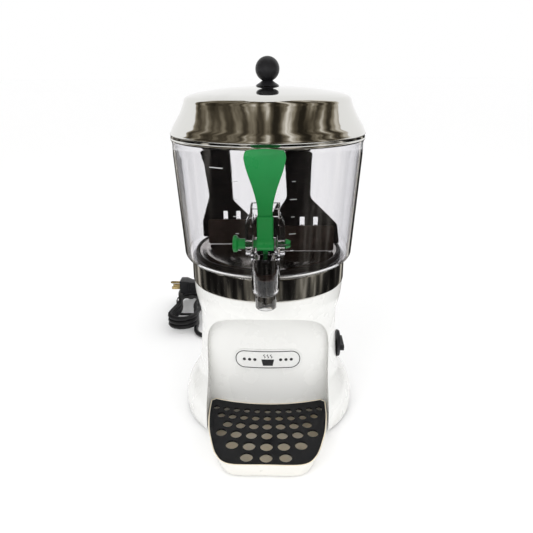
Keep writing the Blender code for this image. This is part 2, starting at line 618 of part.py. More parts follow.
def tap_lever(look):
    """Green lever: handle, block, barrel on the pin, and the leg whose toe lifts the piston."""
    half_thick = 0.0030
    right = flowing([(0.0075, 0.3080), (0.0085, 0.3220), (0.0125, 0.3380), (0.0185, 0.3560),
                     (0.0212, 0.3680)], 3)
    crown = [(0.0200, 0.3735), (0.0165, 0.3758), (0.0, 0.3772)]
    half = right + crown
    outline = half + [(-x, z) for x, z in reversed(half[:-1])]
    handle = softened(front_prism(outline, PIVOT_Y - half_thick, PIVOT_Y + half_thick), 0.0012)
    stem = block((-0.0085, PIVOT_Y - 0.0050, 0.2820), (0.0085, PIVOT_Y + 0.0045, 0.3090), 0.0015)
    barrel = rod_along_x(0.0075, -0.0087, 0.0087, PIVOT_Y, PIVOT_Z)
    direction = math.atan2(TOE.z, TOE.y)
    leg = side_prism(box_outline(TOE.length / 2, 0.0015, 0, (TOE.length / 2, 0)), GAP - LEG_HALF,
                     LEG_HALF - GAP)
    leg = moved(leg, (0, PIVOT_Y, PIVOT_Z), Matrix.Rotation(direction, 4, "X"))
    toe = rod_along_x(TOE_R, -LEG_HALF, LEG_HALF, PIVOT_Y + TOE.y, PIVOT_Z + TOE.z, 24)
    hole = rod_along_x(PIN_R + 0.0001, -0.02, 0.02, PIVOT_Y, PIVOT_Z)
    lever = cut(join(handle, stem, barrel, leg, toe), hole)
    return part("tap_lever", lever, look, (0, PIVOT_Y, PIVOT_Z))


def tap_pin(look):
    """Green pin the lever turns on: button head, shank and a split, barbed end."""
    body = revolve([(0, -0.0340), (0.0080, -0.0340), (0.0090, -0.0330), (0.0090, -0.0300), (0.0058, -0.0270),
                    (0.0055, -EAR_HALF - GAP), (PIN_R, -EAR_HALF - GAP), (PIN_R, EAR_HALF + GAP),
                    (0.0054, EAR_HALF + 0.0010), (0.0036, EAR_HALF + 0.0058), (0, EAR_HALF + 0.0058)], 24)
    split = block((-0.02, -0.0012, EAR_HALF - 0.0075), (0.02, 0.0012, 0.04))
    return part("tap_pin", moved(facing_side(cut(body, split)), (0, PIVOT_Y, PIVOT_Z)), look)


def pin_washers(look):
    """Steel washer on the pin against each wall of the channel."""
    for name, side in (("pin_washer_left", -1), ("pin_washer_right", 1)):
        ring = revolve([(PIN_R + GAP, -WASHER_HALF), (0.0086, -WASHER_HALF), (0.0086, WASHER_HALF),
                        (PIN_R + GAP, WASHER_HALF)], 24)
        part(name, moved(facing_side(ring), (side * (CHANNEL_HALF - GAP - WASHER_HALF), PIVOT_Y, PIVOT_Z)),
             look)


def lever_spring(look):
    """Torsion spring round the pin, between the lever's barrel and the right-hand washer."""
    turns, wire, radius, first, last = 2, 0.0005, 0.0058, 0.0096, 0.0114
    count = turns * 12
    points = []
    for step in range(count + 1):
        angle = math.tau * turns * step / count
        x = first + (last - first) * step / count
        points.append((x, PIVOT_Y + radius * math.cos(angle), PIVOT_Z + radius * math.sin(angle)))
    return part("lever_spring", tube("spring", points, wire, 1), look)


PISTON_FRONT_TOP = 0.2595
WINDOW_LOW = PIVOT_Z + TOE.z - TOE_R - 0.0009
WINDOW_HIGH = PIVOT_Z + TOE.z + TOE_R + 0.0009
PISTON_TOP = WINDOW_HIGH + 0.0030


def tap_piston(look, seal_look):
    """Dark plunger with a window for the lever's toe and a groove for its sliding seal."""
    foot = TAP_SEAT + GAP
    groove = PISTON_R - 0.0020
    body = moved(revolve([(0, foot), (PISTON_R - 0.0010, foot), (PISTON_R, foot + 0.0010),
                          (PISTON_R, SEAL_LOW - GAP),
                          (groove, SEAL_LOW - GAP), (groove, SEAL_HIGH + GAP), (PISTON_R, SEAL_HIGH + GAP),
                          (PISTON_R, PISTON_TOP - 0.001), (PISTON_R - 0.001, PISTON_TOP),
                          (0, PISTON_TOP)], 32),
                 (0, TAP_Y, 0))
    front = block((-0.02, TAP_Y - 0.02, PISTON_FRONT_TOP), (0.02, TAP_Y - 0.0010, 0.30))
    window = block((-0.0040, TAP_Y - 0.02, WINDOW_LOW), (0.0040, TAP_Y + 0.02, WINDOW_HIGH))
    mouth = block((-0.0040, TAP_Y - 0.02, WINDOW_LOW), (0.0040, TAP_Y + 0.0042, 0.30))
    part("tap_piston", cut(body, front, window, mouth), look, (0, TAP_Y, foot))
    rim = BORE_R - GAP
    seal = revolve([(groove + GAP, SEAL_LOW), (rim - 0.0008, SEAL_LOW), (rim, SEAL_LOW + 0.0010),
                    (rim, SEAL_HIGH - 0.0010), (rim - 0.0008, SEAL_HIGH), (groove + GAP, SEAL_HIGH)], 32)
    part("piston_seal", moved(seal, (0, TAP_Y, 0)), seal_look, (0, TAP_Y, foot))


# Lid ------------------------------------------------------------------------------------------
def lid_pieces(steel, knob_look, washer_look):
    """Pressed steel lid with its ball knob, screw and washer."""
    low = BOWL_LIP_Z + GAP
    crown = flowing([(0.0026, LID_APEX), (0.0450, LID_APEX - 0.0020), (0.0800, LID_APEX - 0.0064),
                     (0.0940, LID_APEX - 0.0100), (0.0988, 0.4185), (0.1004, 0.4140), (0.1025, 0.4085),
                     (0.1062, 0.4010), (0.1110, 0.3930), (0.1142, 0.3880), (0.1158, 0.3845),
                     (0.1172, low + 0.0012),
                     (0.1175, low)], 1)
    crown[-1] = (0.1175, BOWL_LIP_Z - LID_SKIRT)
    part("lid", revolve(lid_outline(crown, low), ROUND), steel, (0, 0, low))
    foot = LID_APEX + 0.0004
    ball = OVERALL_TOP - KNOB_BALL_R
    arc = []
    for step in range(9):
        angle = math.radians(-65 + 155 * step / 8)
        arc.append((KNOB_BALL_R * math.cos(angle), ball + KNOB_BALL_R * math.sin(angle)))
    arc[-1] = (0, OVERALL_TOP)
    outline = [(0.0024, foot), (0.0138, foot), (0.0140, foot + 0.0012), (0.0105, foot + 0.0030),
               (0.0068, foot + 0.0050),
               *arc, (0, ball), (0.0024, ball)]
    part("lid_knob", revolve(outline, 28), knob_look, (0, 0, foot))
    under = LID_APEX - 0.0010 - GAP
    washer = revolve([(0.0024, under - 0.0012), (0.0070, under - 0.0012), (0.0070, under),
                      (0.0024, under)], 24)
    part("lid_washer", washer, washer_look, (0, 0, under))
    part("lid_screw", moved(screw(0.0042, 0.0020, 0.0150), (0, 0, under - 0.0012 - GAP)), steel,
         (0, 0, under))


def lid_outline(crown, low):
    """Closed outline of the lid's sheet, one millimetre thick, with a flat seat over the bowl's lip."""
    sheet = 0.0010
    inner = [(radius - sheet * 0.7, z - sheet) for radius, z in crown if z > low + 0.0030]
    inner[0] = (crown[0][0], crown[0][1] - sheet)
    return [*crown, (BOWL_LIP_R + GAP, BOWL_LIP_Z - LID_SKIRT), (BOWL_LIP_R + GAP, low), (0.1140, low),
            *reversed(inner)]


# Controls -------------------------------------------------------------------------------------
def dial_pieces(dial_look, mark_look, body_look):
    """Temperature dial with its pointer, and the thermostat behind it."""
    seat = DIAL_SEAT + GAP
    disc = revolve([(0, seat), (DIAL_R - 0.0006, seat), (DIAL_R, seat + 0.0010),
                    (DIAL_R - 0.0010, seat + 0.0038),
                    (DIAL_R - 0.0030, seat + 0.0046), (0, seat + 0.0046)], 32)
    reach = DIAL_R - 0.0015
    grip = softened(block((-reach, -0.0042, seat + 0.0035), (reach, 0.0042, seat + 0.0098), 0.004), 0.0008)
    stem = cylinder(0.0030, 0.0830, seat + 0.001, 24)
    slot = block((-DIAL_R, -0.0007, seat + 0.0090), (-0.0060, 0.0007, seat + 0.02))
    dial = moved(facing_side(cut(join(disc, grip, stem), slot)), (0, 0, DIAL_Z))
    part("thermostat_dial", dial, dial_look, (DIAL_SEAT, 0, DIAL_Z))
    line = block((0.0022 - DIAL_R, -0.0004, seat + 0.0093), (-0.0064, 0.0004, seat + 0.0099))
    part("dial_pointer", moved(facing_side(line), (0, 0, DIAL_Z)), mark_look, (DIAL_SEAT, 0, DIAL_Z))
    case = softened(block((0.0500, -0.017, DIAL_Z - 0.017), (0.0820, 0.017, DIAL_Z + 0.017), 0.003), 0.001)
    neck = rod_along_x(0.0060, 0.0800, 0.0860, 0, DIAL_Z)
    bore = rod_along_x(0.0031, 0.0825, 0.09, 0, DIAL_Z, 24)
    part("thermostat", cut(join(case, neck), bore), body_look)


ROCKER_TILT = math.radians(9)
ROCKER_Y = REAR_PAD - 0.0005


def switch_pieces(frame_look, rocker_look, lamp_look):
    """Rear power switch and the heating lamp beside it."""
    outer_x, outer_z = SWITCH_HALF[0] + 0.0016, SWITCH_HALF[1] + 0.0018
    face = REAR_PAD + GAP
    bezel = moved(front_prism(box_outline(outer_x, outer_z, 0.0012), face, face + 0.0018),
                  (SWITCH_X, 0, PANEL_Z))
    case = block((SWITCH_X - SWITCH_HALF[0] + GAP, REAR_PAD - 0.020, PANEL_Z - SWITCH_HALF[1] + GAP),
                 (SWITCH_X + SWITCH_HALF[0] - GAP, face + 0.001, PANEL_Z + SWITCH_HALF[1] - GAP))
    pocket = block((SWITCH_X - 0.0052, REAR_PAD - 0.0065, PANEL_Z - 0.0084),
                   (SWITCH_X + 0.0052, REAR_PAD + 0.02, PANEL_Z + 0.0084))
    part("power_switch", cut(join(bezel, case), pocket), frame_look)
    wedge = rounded([(-0.0040, -0.0040, 0.002), (0.0012, -0.0076, 0), (0.0030, -0.0076, 0), (0.0018, 0, 0),
                     (0.0030, 0.0076, 0), (0.0012, 0.0076, 0), (-0.0040, 0.0040, 0.002)], 3)
    rocker = moved(side_prism(wedge, -0.0049, 0.0049), turn=Matrix.Rotation(-ROCKER_TILT, 4, "X"))
    origin = (SWITCH_X, ROCKER_Y, PANEL_Z)
    part("power_rocker", moved(rocker, origin), rocker_look, origin)
    face_low = REAR_PAD + GAP
    lamp = revolve([(0, -0.014), (LAMP_R - GAP, -0.014), (LAMP_R - GAP, face_low - REAR_PAD), (0.0066, GAP),
                    (0.0066, 0.0012), (0.0048, 0.0028), (0.0030, 0.0040), (0, 0.0046)], 20)
    lamp = moved(moved(lamp, turn=Matrix.Rotation(-math.pi / 2, 4, "X")), (LAMP_X, REAR_PAD, PANEL_Z))
    part("heating_lamp", lamp, lamp_look)


def terminal_block(look):
    """Screw terminal strip where the cord is wired in."""
    strip = block((-0.024, 0.044, PLATE_HIGH + GAP), (0.024, 0.060, 0.0240), 0.001)
    wells = []
    for index in range(4):
        x = -0.018 + index * 0.012
        wells.append(moved(cylinder(0.0028, 0.0170, 0.05, 12), (x, 0.052, 0)))
        wells.append(rod_along_y(0.0020, 0.03, 0.07, x, 0.0135, 10))
    return part("terminal_block", cut(strip, group(wells)), look)


# Cord -----------------------------------------------------------------------------------------
HANK_CENTRE = (-0.1630, 0.2680)
HANK_HALF = (0.0285, 0.0820)
HANK_HIGH = 0.0340
RELIEF_OUT = 0.1450
PLUG_BASE = Vector((-0.1660, 0.3060, 0.0))
PLUG_Z = HANK_HIGH + GAP + 0.0125


def resampled(route, radius, spacing=2.5):
    """Points along a smooth curve through the route, about `spacing` diameters apart."""
    curve = [Vector(point) for point in flowing(route, 24)]
    step = 2 * radius * spacing
    points, travelled = [curve[0]], 0.0
    for before, after in zip(curve, curve[1:]):
        travelled += (after - before).length
        if travelled >= step:
            points.append(after)
            travelled = 0.0
    if (points[-1] - curve[-1]).length < step / 2:
        points.pop()
    return points + [curve[-1]]


def cord_pieces(cord_look, plug_look, pin_look, tie_look):
    """Strain relief, power cord, its tied hank and the three-pin plug resting on the hank."""
    wall = 0.1140
    relief = revolve([(0, -0.010), (0.0062, -0.010), (0.0062, 0.0036), (0.0095, 0.0036), (0.0095, 0.0062),
                      (0.0072, 0.0075), (0.0050, RELIEF_OUT - wall), (0, RELIEF_OUT - wall)], 20)
    relief = moved(moved(relief, turn=Matrix.Rotation(-math.pi / 2, 4, "X")), (GLAND_X, wall, GLAND_Z))
    part("strain_relief", relief, cord_look)
    lying = CORD_R + GAP
    hank_x, hank_y = HANK_CENTRE
    entry = (hank_x + 0.006, hank_y - HANK_HALF[1] - GAP, lying + 0.004)
    route = [(GLAND_X, RELIEF_OUT + GAP, GLAND_Z), (GLAND_X, RELIEF_OUT + 0.010, GLAND_Z),
             (GLAND_X - 0.004, RELIEF_OUT + 0.026, 0.018),
             (GLAND_X - 0.024, RELIEF_OUT + 0.038, lying + 0.002), (GLAND_X - 0.062, RELIEF_OUT + 0.034,
                                                                    lying),
             (hank_x + 0.032, RELIEF_OUT + 0.014, lying), (hank_x + 0.010, entry[1] - 0.022, lying), entry]
    part("power_cord", tube("cord", resampled(route, CORD_R, 1.2), CORD_R), cord_look)
    outline = box_outline(HANK_HALF[0], HANK_HALF[1], HANK_HALF[0] - 0.0005, HANK_CENTRE)
    hank = softened(prism(outline, GAP, HANK_HIGH), 0.006, 2, 60)
    part("cord_hank", hank, cord_look)
    slack = HANK_HALF[0] + GAP
    strap = block((hank_x - slack - 0.0015, hank_y - 0.0045, 0.0), (hank_x + slack + 0.0015, hank_y + 0.0045,
                                                                  HANK_HIGH + 0.0018))
    middle = block((hank_x - slack, hank_y - 0.02, -0.01), (hank_x + slack, hank_y + 0.02, HANK_HIGH + GAP))
    part("cord_tie", cut(strap, middle), tie_look)
    length = 0.034
    body = softened(side_prism(box_outline(0.0125, 0.0125, 0.006), -length / 2, length / 2), 0.002, 2, 60)
    part("plug_body", moved(body, (PLUG_BASE.x, PLUG_BASE.y, PLUG_Z)), plug_look)
    face = PLUG_BASE.x - length / 2 - GAP
    for name, across, up in (("plug_pin_left", -0.0065, -0.003), ("plug_pin_right", 0.0065, -0.003)):
        blade_box = block((face - 0.0160, PLUG_BASE.y + across - 0.0008, PLUG_Z + up - 0.0030),
                          (face, PLUG_BASE.y + across + 0.0008, PLUG_Z + up + 0.0030))
        part(name, blade_box, pin_look)
    part("plug_pin_earth", rod_along_x(0.0024, face - 0.0190, face, PLUG_BASE.y, PLUG_Z + 0.006, 24),
         pin_look)
    tail_start = (PLUG_BASE.x + length / 2 + GAP, PLUG_BASE.y, PLUG_Z)
    tail = [tail_start, (tail_start[0] + 0.012, PLUG_BASE.y, PLUG_Z),
            (hank_x + HANK_HALF[0] + 0.010, PLUG_BASE.y - 0.012, PLUG_Z - 0.006),
            (hank_x + HANK_HALF[0] + 0.0125, PLUG_BASE.y - 0.028, HANK_HIGH * 0.75),
            (hank_x + HANK_HALF[0] + CORD_R + GAP, PLUG_BASE.y - 0.052, HANK_HIGH * 0.5)]
    part("plug_tail", tube("tail", resampled(tail, CORD_R, 1.5), CORD_R), cord_look)


# Assembly -------------------------------------------------------------------------------------
def main():
    for old in list(bpy.data.objects):
        bpy.data.objects.remove(old)
    looks = {
        "white": material("white_body", (0.82, 0.82, 0.79), 0.28),
        "tray": material("tray_white", (0.80, 0.79, 0.75), 0.35),
        "grille": material("grille_black", (0.012, 0.012, 0.013), 0.18),
        "steel": material("polished_steel", (0.62, 0.61, 0.59), 0.12, 1.0),
        "dull_steel": material("plain_steel", (0.50, 0.50, 0.50), 0.40, 1.0),
        "pan": material("pan_steel", (0.55, 0.54, 0.53), 0.30, 1.0),
        "cast": material("cast_housing", (0.35, 0.35, 0.36), 0.55, 0.6),
        "motor": material("motor_steel", (0.25, 0.26, 0.28), 0.45, 0.8),
        "brass": material("brass", (0.66, 0.48, 0.20), 0.35, 1.0),
        "clear": material("clear_plastic", (0.85, 0.87, 0.88), 0.06),
        "green": material("green_plastic", (0.01, 0.22, 0.05), 0.35),
        "black": material("black_plastic", (0.015, 0.015, 0.017), 0.50),
        "paddle": material("paddle_plastic", (0.030, 0.026, 0.025), 0.45),
        "scraper": material("scraper_plastic", (0.12, 0.085, 0.075), 0.50),
        "rubber": material("dark_rubber", (0.020, 0.020, 0.020), 0.80),
        "silicone": material("brown_silicone", (0.14, 0.05, 0.03), 0.60),
        "mark": material("white_mark", (0.75, 0.75, 0.72), 0.50),
        "lamp": material("amber_lamp", (0.80, 0.28, 0.03), 0.20),
        "badge": material("badge_face", (0.10, 0.10, 0.11), 0.35),
        "cord": material("cord_pvc", (0.014, 0.014, 0.015), 0.45),
    }
    body_shell(looks["white"])
    base_pieces(looks["dull_steel"], looks["rubber"], looks["dull_steel"])
    badge(looks["badge"])
    drip_tray(looks["tray"], looks["grille"])
    heated_base(looks["steel"], looks["pan"], looks["silicone"], looks["dull_steel"])
    drive_pieces(looks["dull_steel"], looks["cast"], looks["motor"], looks["brass"], looks["rubber"],
                 looks["dull_steel"])
    paddle(looks["paddle"], looks["scraper"])
    bowl(looks["clear"])
    tap_lever(looks["green"])
    tap_pin(looks["green"])
    pin_washers(looks["dull_steel"])
    lever_spring(looks["dull_steel"])
    tap_piston(looks["black"], looks["silicone"])
    lid_pieces(looks["steel"], looks["black"], looks["rubber"])
    dial_pieces(looks["black"], looks["mark"], looks["black"])
    switch_pieces(looks["black"], looks["black"], looks["lamp"])
    terminal_block(looks["tray"])
    cord_pieces(looks["cord"], looks["black"], looks["brass"], looks["rubber"])
    machine = bpy.data.objects.new("dispenser", None)
    bpy.context.collection.objects.link(machine)
    machine.location = (0, (TRAY_REACH - PEDESTAL_R) / 2, 0)
    for piece in PARTS:
        piece.parent = machine


main()
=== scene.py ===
"""Looks of the heated sauce dispenser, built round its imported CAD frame.

Shapes are written in machine coordinates, as the CAD is: +Z up, -Y towards the tap, the paddle's axis
on X = Y = 0 and the table at Z = 0, in metres.  piece() moves each one to the frame's own origin.
"""

import json
import math

import bmesh
import bpy
from mathutils import Matrix, Vector


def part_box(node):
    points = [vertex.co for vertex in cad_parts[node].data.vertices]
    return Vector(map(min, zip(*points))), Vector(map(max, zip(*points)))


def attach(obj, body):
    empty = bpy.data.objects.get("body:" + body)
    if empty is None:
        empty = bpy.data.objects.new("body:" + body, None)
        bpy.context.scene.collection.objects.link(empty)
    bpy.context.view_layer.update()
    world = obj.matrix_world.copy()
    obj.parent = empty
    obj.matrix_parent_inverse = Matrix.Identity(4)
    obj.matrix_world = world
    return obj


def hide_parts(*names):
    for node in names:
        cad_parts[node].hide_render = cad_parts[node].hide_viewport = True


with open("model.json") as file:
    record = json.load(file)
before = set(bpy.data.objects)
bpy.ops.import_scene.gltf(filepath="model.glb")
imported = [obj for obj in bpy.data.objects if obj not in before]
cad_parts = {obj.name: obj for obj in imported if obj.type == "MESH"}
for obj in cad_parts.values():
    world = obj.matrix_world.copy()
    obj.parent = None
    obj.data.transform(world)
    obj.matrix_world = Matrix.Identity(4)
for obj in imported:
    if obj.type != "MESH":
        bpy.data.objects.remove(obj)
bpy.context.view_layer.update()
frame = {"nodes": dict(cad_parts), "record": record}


def low(node):
    """Lowest corner of a CAD node in machine coordinates."""
    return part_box(node)[0] - AXIS


def high(node):
    """Highest corner of a CAD node in machine coordinates."""
    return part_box(node)[1] - AXIS


def middle(node):
    """Middle of a CAD node in machine coordinates."""
    return (low(node) + high(node)) / 2


# Dimensions worked out from the frame -----------------------------------------------------------
AXIS = Vector((0.0, (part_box("lid")[0].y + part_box("lid")[1].y) / 2, 0.0))
GAP = 0.0003
SHELL_LOW, SHELL_TOP = low("body_shell").z, high("body_shell").z
PEDESTAL_R = high("body_shell").x
SHELL_WALL = 0.0030
BAY_HALF, BAY_TOP, BAY_SHOULDER, BAY_SQUARENESS = 0.0800, 0.1710, 0.1000, 2.7
BAY_FRONT = -low("badge").y - 0.0011
BAY_BOW_R = 0.2280
COLLAR_LOW, COLLAR_TOP, COLLAR_R = low("steel_collar").z, high("steel_collar").z, high("steel_collar").x
FLOOR_Z = high("heating_pan").z
PAN_R = 0.0905
BOWL_LOW, BOWL_LIP_Z, BOWL_LIP_R = COLLAR_TOP + GAP, high("bowl").z, high("bowl").x
BOWL_OPENING_R = high("bowl_gasket").x + GAP
LID_R, LID_APEX = high("lid").x, high("lid").z
KNOB_R, OVERALL_TOP = high("lid_knob").x, high("lid_knob").z
TRAY_REACH, TRAY_RIM = -low("drip_tray").y, high("drip_tray").z
TAP_Y = middle("piston_seal").y
TAP_TIP = low("bowl").z
TAP_SEAT = low("tap_piston").z - GAP
TAP_TUBE_R, BORE_R, PISTON_R = 0.0155, high("piston_seal").x + GAP, high("tap_piston").x
TAP_TUBE_TOP = 0.2680
CHANNEL_HALF, CHANNEL_OUT, EAR_HALF, EAR_TOP = 0.0133, 0.0155, 0.0205, 0.3180
PIVOT_Y, PIVOT_Z = middle("tap_pin").y, middle("tap_pin").z
PIN_R = 0.0045
TOE = Vector((0.0, 0.0085, -0.0185))
DIAL_Z, DIAL_R = middle("thermostat_dial").z, high("thermostat_dial").y
DIAL_SEAT = 0.0950
REAR_PAD = high("body_shell").y
PADDLE_LOW, PADDLE_TOP = low("paddle").z, high("paddle").z
CORD_R = 0.0040


# Outlines -----------------------------------------------------------------------------------------
def rounded(corners, steps=6):
    """Closed outline through (x, y, radius) corners, each one turned into an arc."""
    outline = []
    for index, (x, y, radius) in enumerate(corners):
        corner = Vector((x, y))
        if radius == 0:
            outline.append((x, y))
            continue
        before = (Vector(corners[index - 1][:2]) - corner).normalized()
        after = (Vector(corners[(index + 1) % len(corners)][:2]) - corner).normalized()
        half = before.angle(after) / 2
        centre = corner + (before + after).normalized() * radius / math.sin(half)
        reach = radius / math.tan(half)
        start = corner + before * reach - centre
        end = corner + after * reach - centre
        first = math.atan2(start.y, start.x)
        turn = (math.atan2(end.y, end.x) - first + math.pi) % math.tau - math.pi
        for step in range(steps + 1):
            angle = first + turn * step / steps
            outline.append((centre.x + radius * math.cos(angle), centre.y + radius * math.sin(angle)))
    return outline


def box_outline(half_x, half_y, radius, centre=(0.0, 0.0), steps=6):
    """Rounded rectangle about a centre."""
    signs = ((1, 1), (-1, 1), (-1, -1), (1, -1))
    return rounded([(centre[0] + sx * half_x, centre[1] + sy * half_y, radius) for sx, sy in signs], steps)


def flowing(points, steps=5):
    """Smooth curve through the points (Catmull-Rom), ends included."""
    padded = [points[0], *points, points[-1]]
    curve = []
    for a, b, c, d in zip(padded, padded[1:], padded[2:], padded[3:]):
        for step in range(steps):
            t = step / steps
            weights = (-t + 2 * t**2 - t**3, 2 - 5 * t**2 + 3 * t**3, t + 4 * t**2 - 3 * t**3, t**3 - t**2)
            curve.append(tuple(
                sum(w * p[axis] for w, p in zip(weights, (a, b, c, d))) / 2 for axis in range(len(b))))
    curve.append(tuple(points[-1]))
    return curve


def offset(path, distance, closed=False):
    """The path's points moved to its left."""
    points = [Vector(point) for point in path]
    last = len(points) - 1
    shifted = []
    for index, point in enumerate(points):
        behind = point - points[index - 1] if index or closed else points[1] - point
        ahead = points[(index + 1) % len(points)] - point if index < last or closed else behind
        sides = [Vector((-side.y, side.x)).normalized() for side in (behind, ahead)]
        across = (sides[0] + sides[1]).normalized()
        shifted.append(tuple(point + across * distance / across.dot(sides[0])))
    return shifted


def around(angle, radius):
    """Point on a circle about the machine's axis."""
    return radius * math.cos(math.radians(angle)), radius * math.sin(math.radians(angle))


# Solids -------------------------------------------------------------------------------------------
def revolve(outline, segments=160):
    """Solid swept round the Z axis by a closed (radius, z) outline."""
    mesh = bmesh.new()
    rings = []
    for radius, z in outline:
        count = 1 if radius < 1e-7 else segments
        angles = [math.tau * step / segments for step in range(count)]
        rings.append([mesh.verts.new((radius * math.cos(a), radius * math.sin(a), z)) for a in angles])
    for below, above in zip(rings, rings[1:] + rings[:1]):
        if len(below) == len(above) == 1:
            continue
        for step in range(segments):
            after = (step + 1) % segments
            corners = [below[step % len(below)], below[after % len(below)],
                       above[after % len(above)], above[step % len(above)]]
            mesh.faces.new(dict.fromkeys(corners))
    bmesh.ops.recalc_face_normals(mesh, faces=mesh.faces)
    return mesh


def cylinder(radius, bottom, top, segments=48):
    """Solid cylinder on the Z axis."""
    return revolve([(0, bottom), (radius, bottom), (radius, top), (0, top)], segments)


def loft(low_outline, bottom, high_outline, top):
    """Solid between two outlines with the same number of points, drawn in XY."""
    mesh = bmesh.new()
    lower = [mesh.verts.new((x, y, bottom)) for x, y in low_outline]
    upper = [mesh.verts.new((x, y, top)) for x, y in high_outline]
    mesh.faces.new(lower)
    mesh.faces.new(upper)
    for index in range(len(lower)):
        mesh.faces.new((lower[index - 1], lower[index], upper[index], upper[index - 1]))
    bmesh.ops.recalc_face_normals(mesh, faces=mesh.faces)
    return mesh


def prism(outline, bottom, top):
    """Solid with one outline drawn in XY, between two heights."""
    return loft(outline, bottom, outline, top)


def block(near, far, radius=0.0):
    """Box between two corners; its upright edges are rounded."""
    centre = [(a + b) / 2 for a, b in zip(near, far)]
    half = [(b - a) / 2 for a, b in zip(near, far)]
    return prism(box_outline(half[0], half[1], radius, centre[:2], 4), near[2], far[2])


def moved(mesh, shift=(0, 0, 0), turn=None):
    """The same mesh, turned and then shifted."""
    mesh.transform(Matrix.Translation(shift) @ (turn or Matrix.Identity(4)))
    return mesh


def facing_front(mesh):
    """Stand an XY outline up: X stays, Y becomes Z, and Z becomes -Y."""
    return moved(mesh, turn=Matrix.Rotation(math.pi / 2, 4, "X"))


def facing_side(mesh):
    """Stand an XY outline up sideways: X becomes Y, Y becomes Z, and Z becomes X."""
    return moved(mesh, turn=Matrix(((0, 0, 1, 0), (1, 0, 0, 0), (0, 1, 0, 0), (0, 0, 0, 1))))


def front_prism(outline, near, far):
    """Solid with an outline drawn in XZ, between two values of Y."""
    return facing_front(prism(outline, -far, -near))


def side_prism(outline, left, right):
    """Solid with an outline drawn in YZ, between two values of X."""
    return facing_side(prism(outline, left, right))


def rod_along_x(radius, left, right, y, z, segments=40):
    """Cylinder along X."""
    return moved(facing_side(cylinder(radius, left, right, segments)), (0, y, z))


def rod_along_y(radius, front, back, x, z, segments=40):
    """Cylinder along Y."""
    return moved(facing_front(cylinder(radius, -back, -front, segments)), (x, 0, z))


def as_object(mesh, name):
    """Scene object that holds a mesh."""
    data = bpy.data.meshes.new(name)
    mesh.to_mesh(data)
    mesh.free()
    made = bpy.data.objects.new(name, data)
    bpy.context.collection.objects.link(made)
    return made


def boolean(operation, base, *others):
    """Exact boolean of a mesh with others, one after another."""
    for other in others:
        target, tool = as_object(base, "target"), as_object(other, "tool")
        modifier = target.modifiers.new("boolean", "BOOLEAN")
        modifier.operation = operation
        modifier.solver = "EXACT"
        modifier.object = tool
        evaluated = target.evaluated_get(bpy.context.evaluated_depsgraph_get())
        base = bmesh.new()
        base.from_mesh(evaluated.to_mesh())
        for used in (target, tool):
            bpy.data.objects.remove(used)
    return base


def cut(base, *tools):
    """Base without the tools."""
    return boolean("DIFFERENCE", base, *tools)


def join(base, *tools):
    """Base and tools as one solid."""
    return boolean("UNION", base, *tools)


def group(meshes):
    """Several meshes as one."""
    whole = bmesh.new()
    for mesh in meshes:
        data = bpy.data.meshes.new("piece")
        mesh.to_mesh(data)
        mesh.free()
        whole.from_mesh(data)
        bpy.data.meshes.remove(data)
    return whole


def softened(mesh, width, segments=3, angle=40):
    """Mesh with its sharp edges rounded over."""
    bmesh.ops.dissolve_limit(mesh, angle_limit=math.radians(0.5), verts=mesh.verts, edges=mesh.edges)
    sharp = [edge for edge in mesh.edges if edge.calc_face_angle(0) > math.radians(angle)]
    bmesh.ops.bevel(mesh, geom=sharp, offset=width, segments=segments, affect="EDGES", profile=0.5,
                    clamp_overlap=True)
    return mesh


def piece(name, mesh, look, body, nodes=(), edge=0.0, angle=30):
    """Named piece in the frame: its material, the body it rides on and the CAD nodes it stands for."""
    made = mesh if isinstance(mesh, bpy.types.Object) else as_object(mesh, name)
    made.name = name
    if made.type == "MESH":
        made.data.transform(Matrix.Translation(AXIS))
        made.data.shade_smooth()
        made.data.set_sharp_from_angle(angle=math.radians(angle))
    made.data.materials.append(look)
    if edge:
        bevel = made.modifiers.new("edges", "BEVEL")
        bevel.width = edge
        bevel.segments = 2
        bevel.limit_method = "ANGLE"
        bevel.angle_limit = math.radians(angle)
        bevel.harden_normals = True
    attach(made, body)
    if nodes:
        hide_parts(*nodes)
    return made


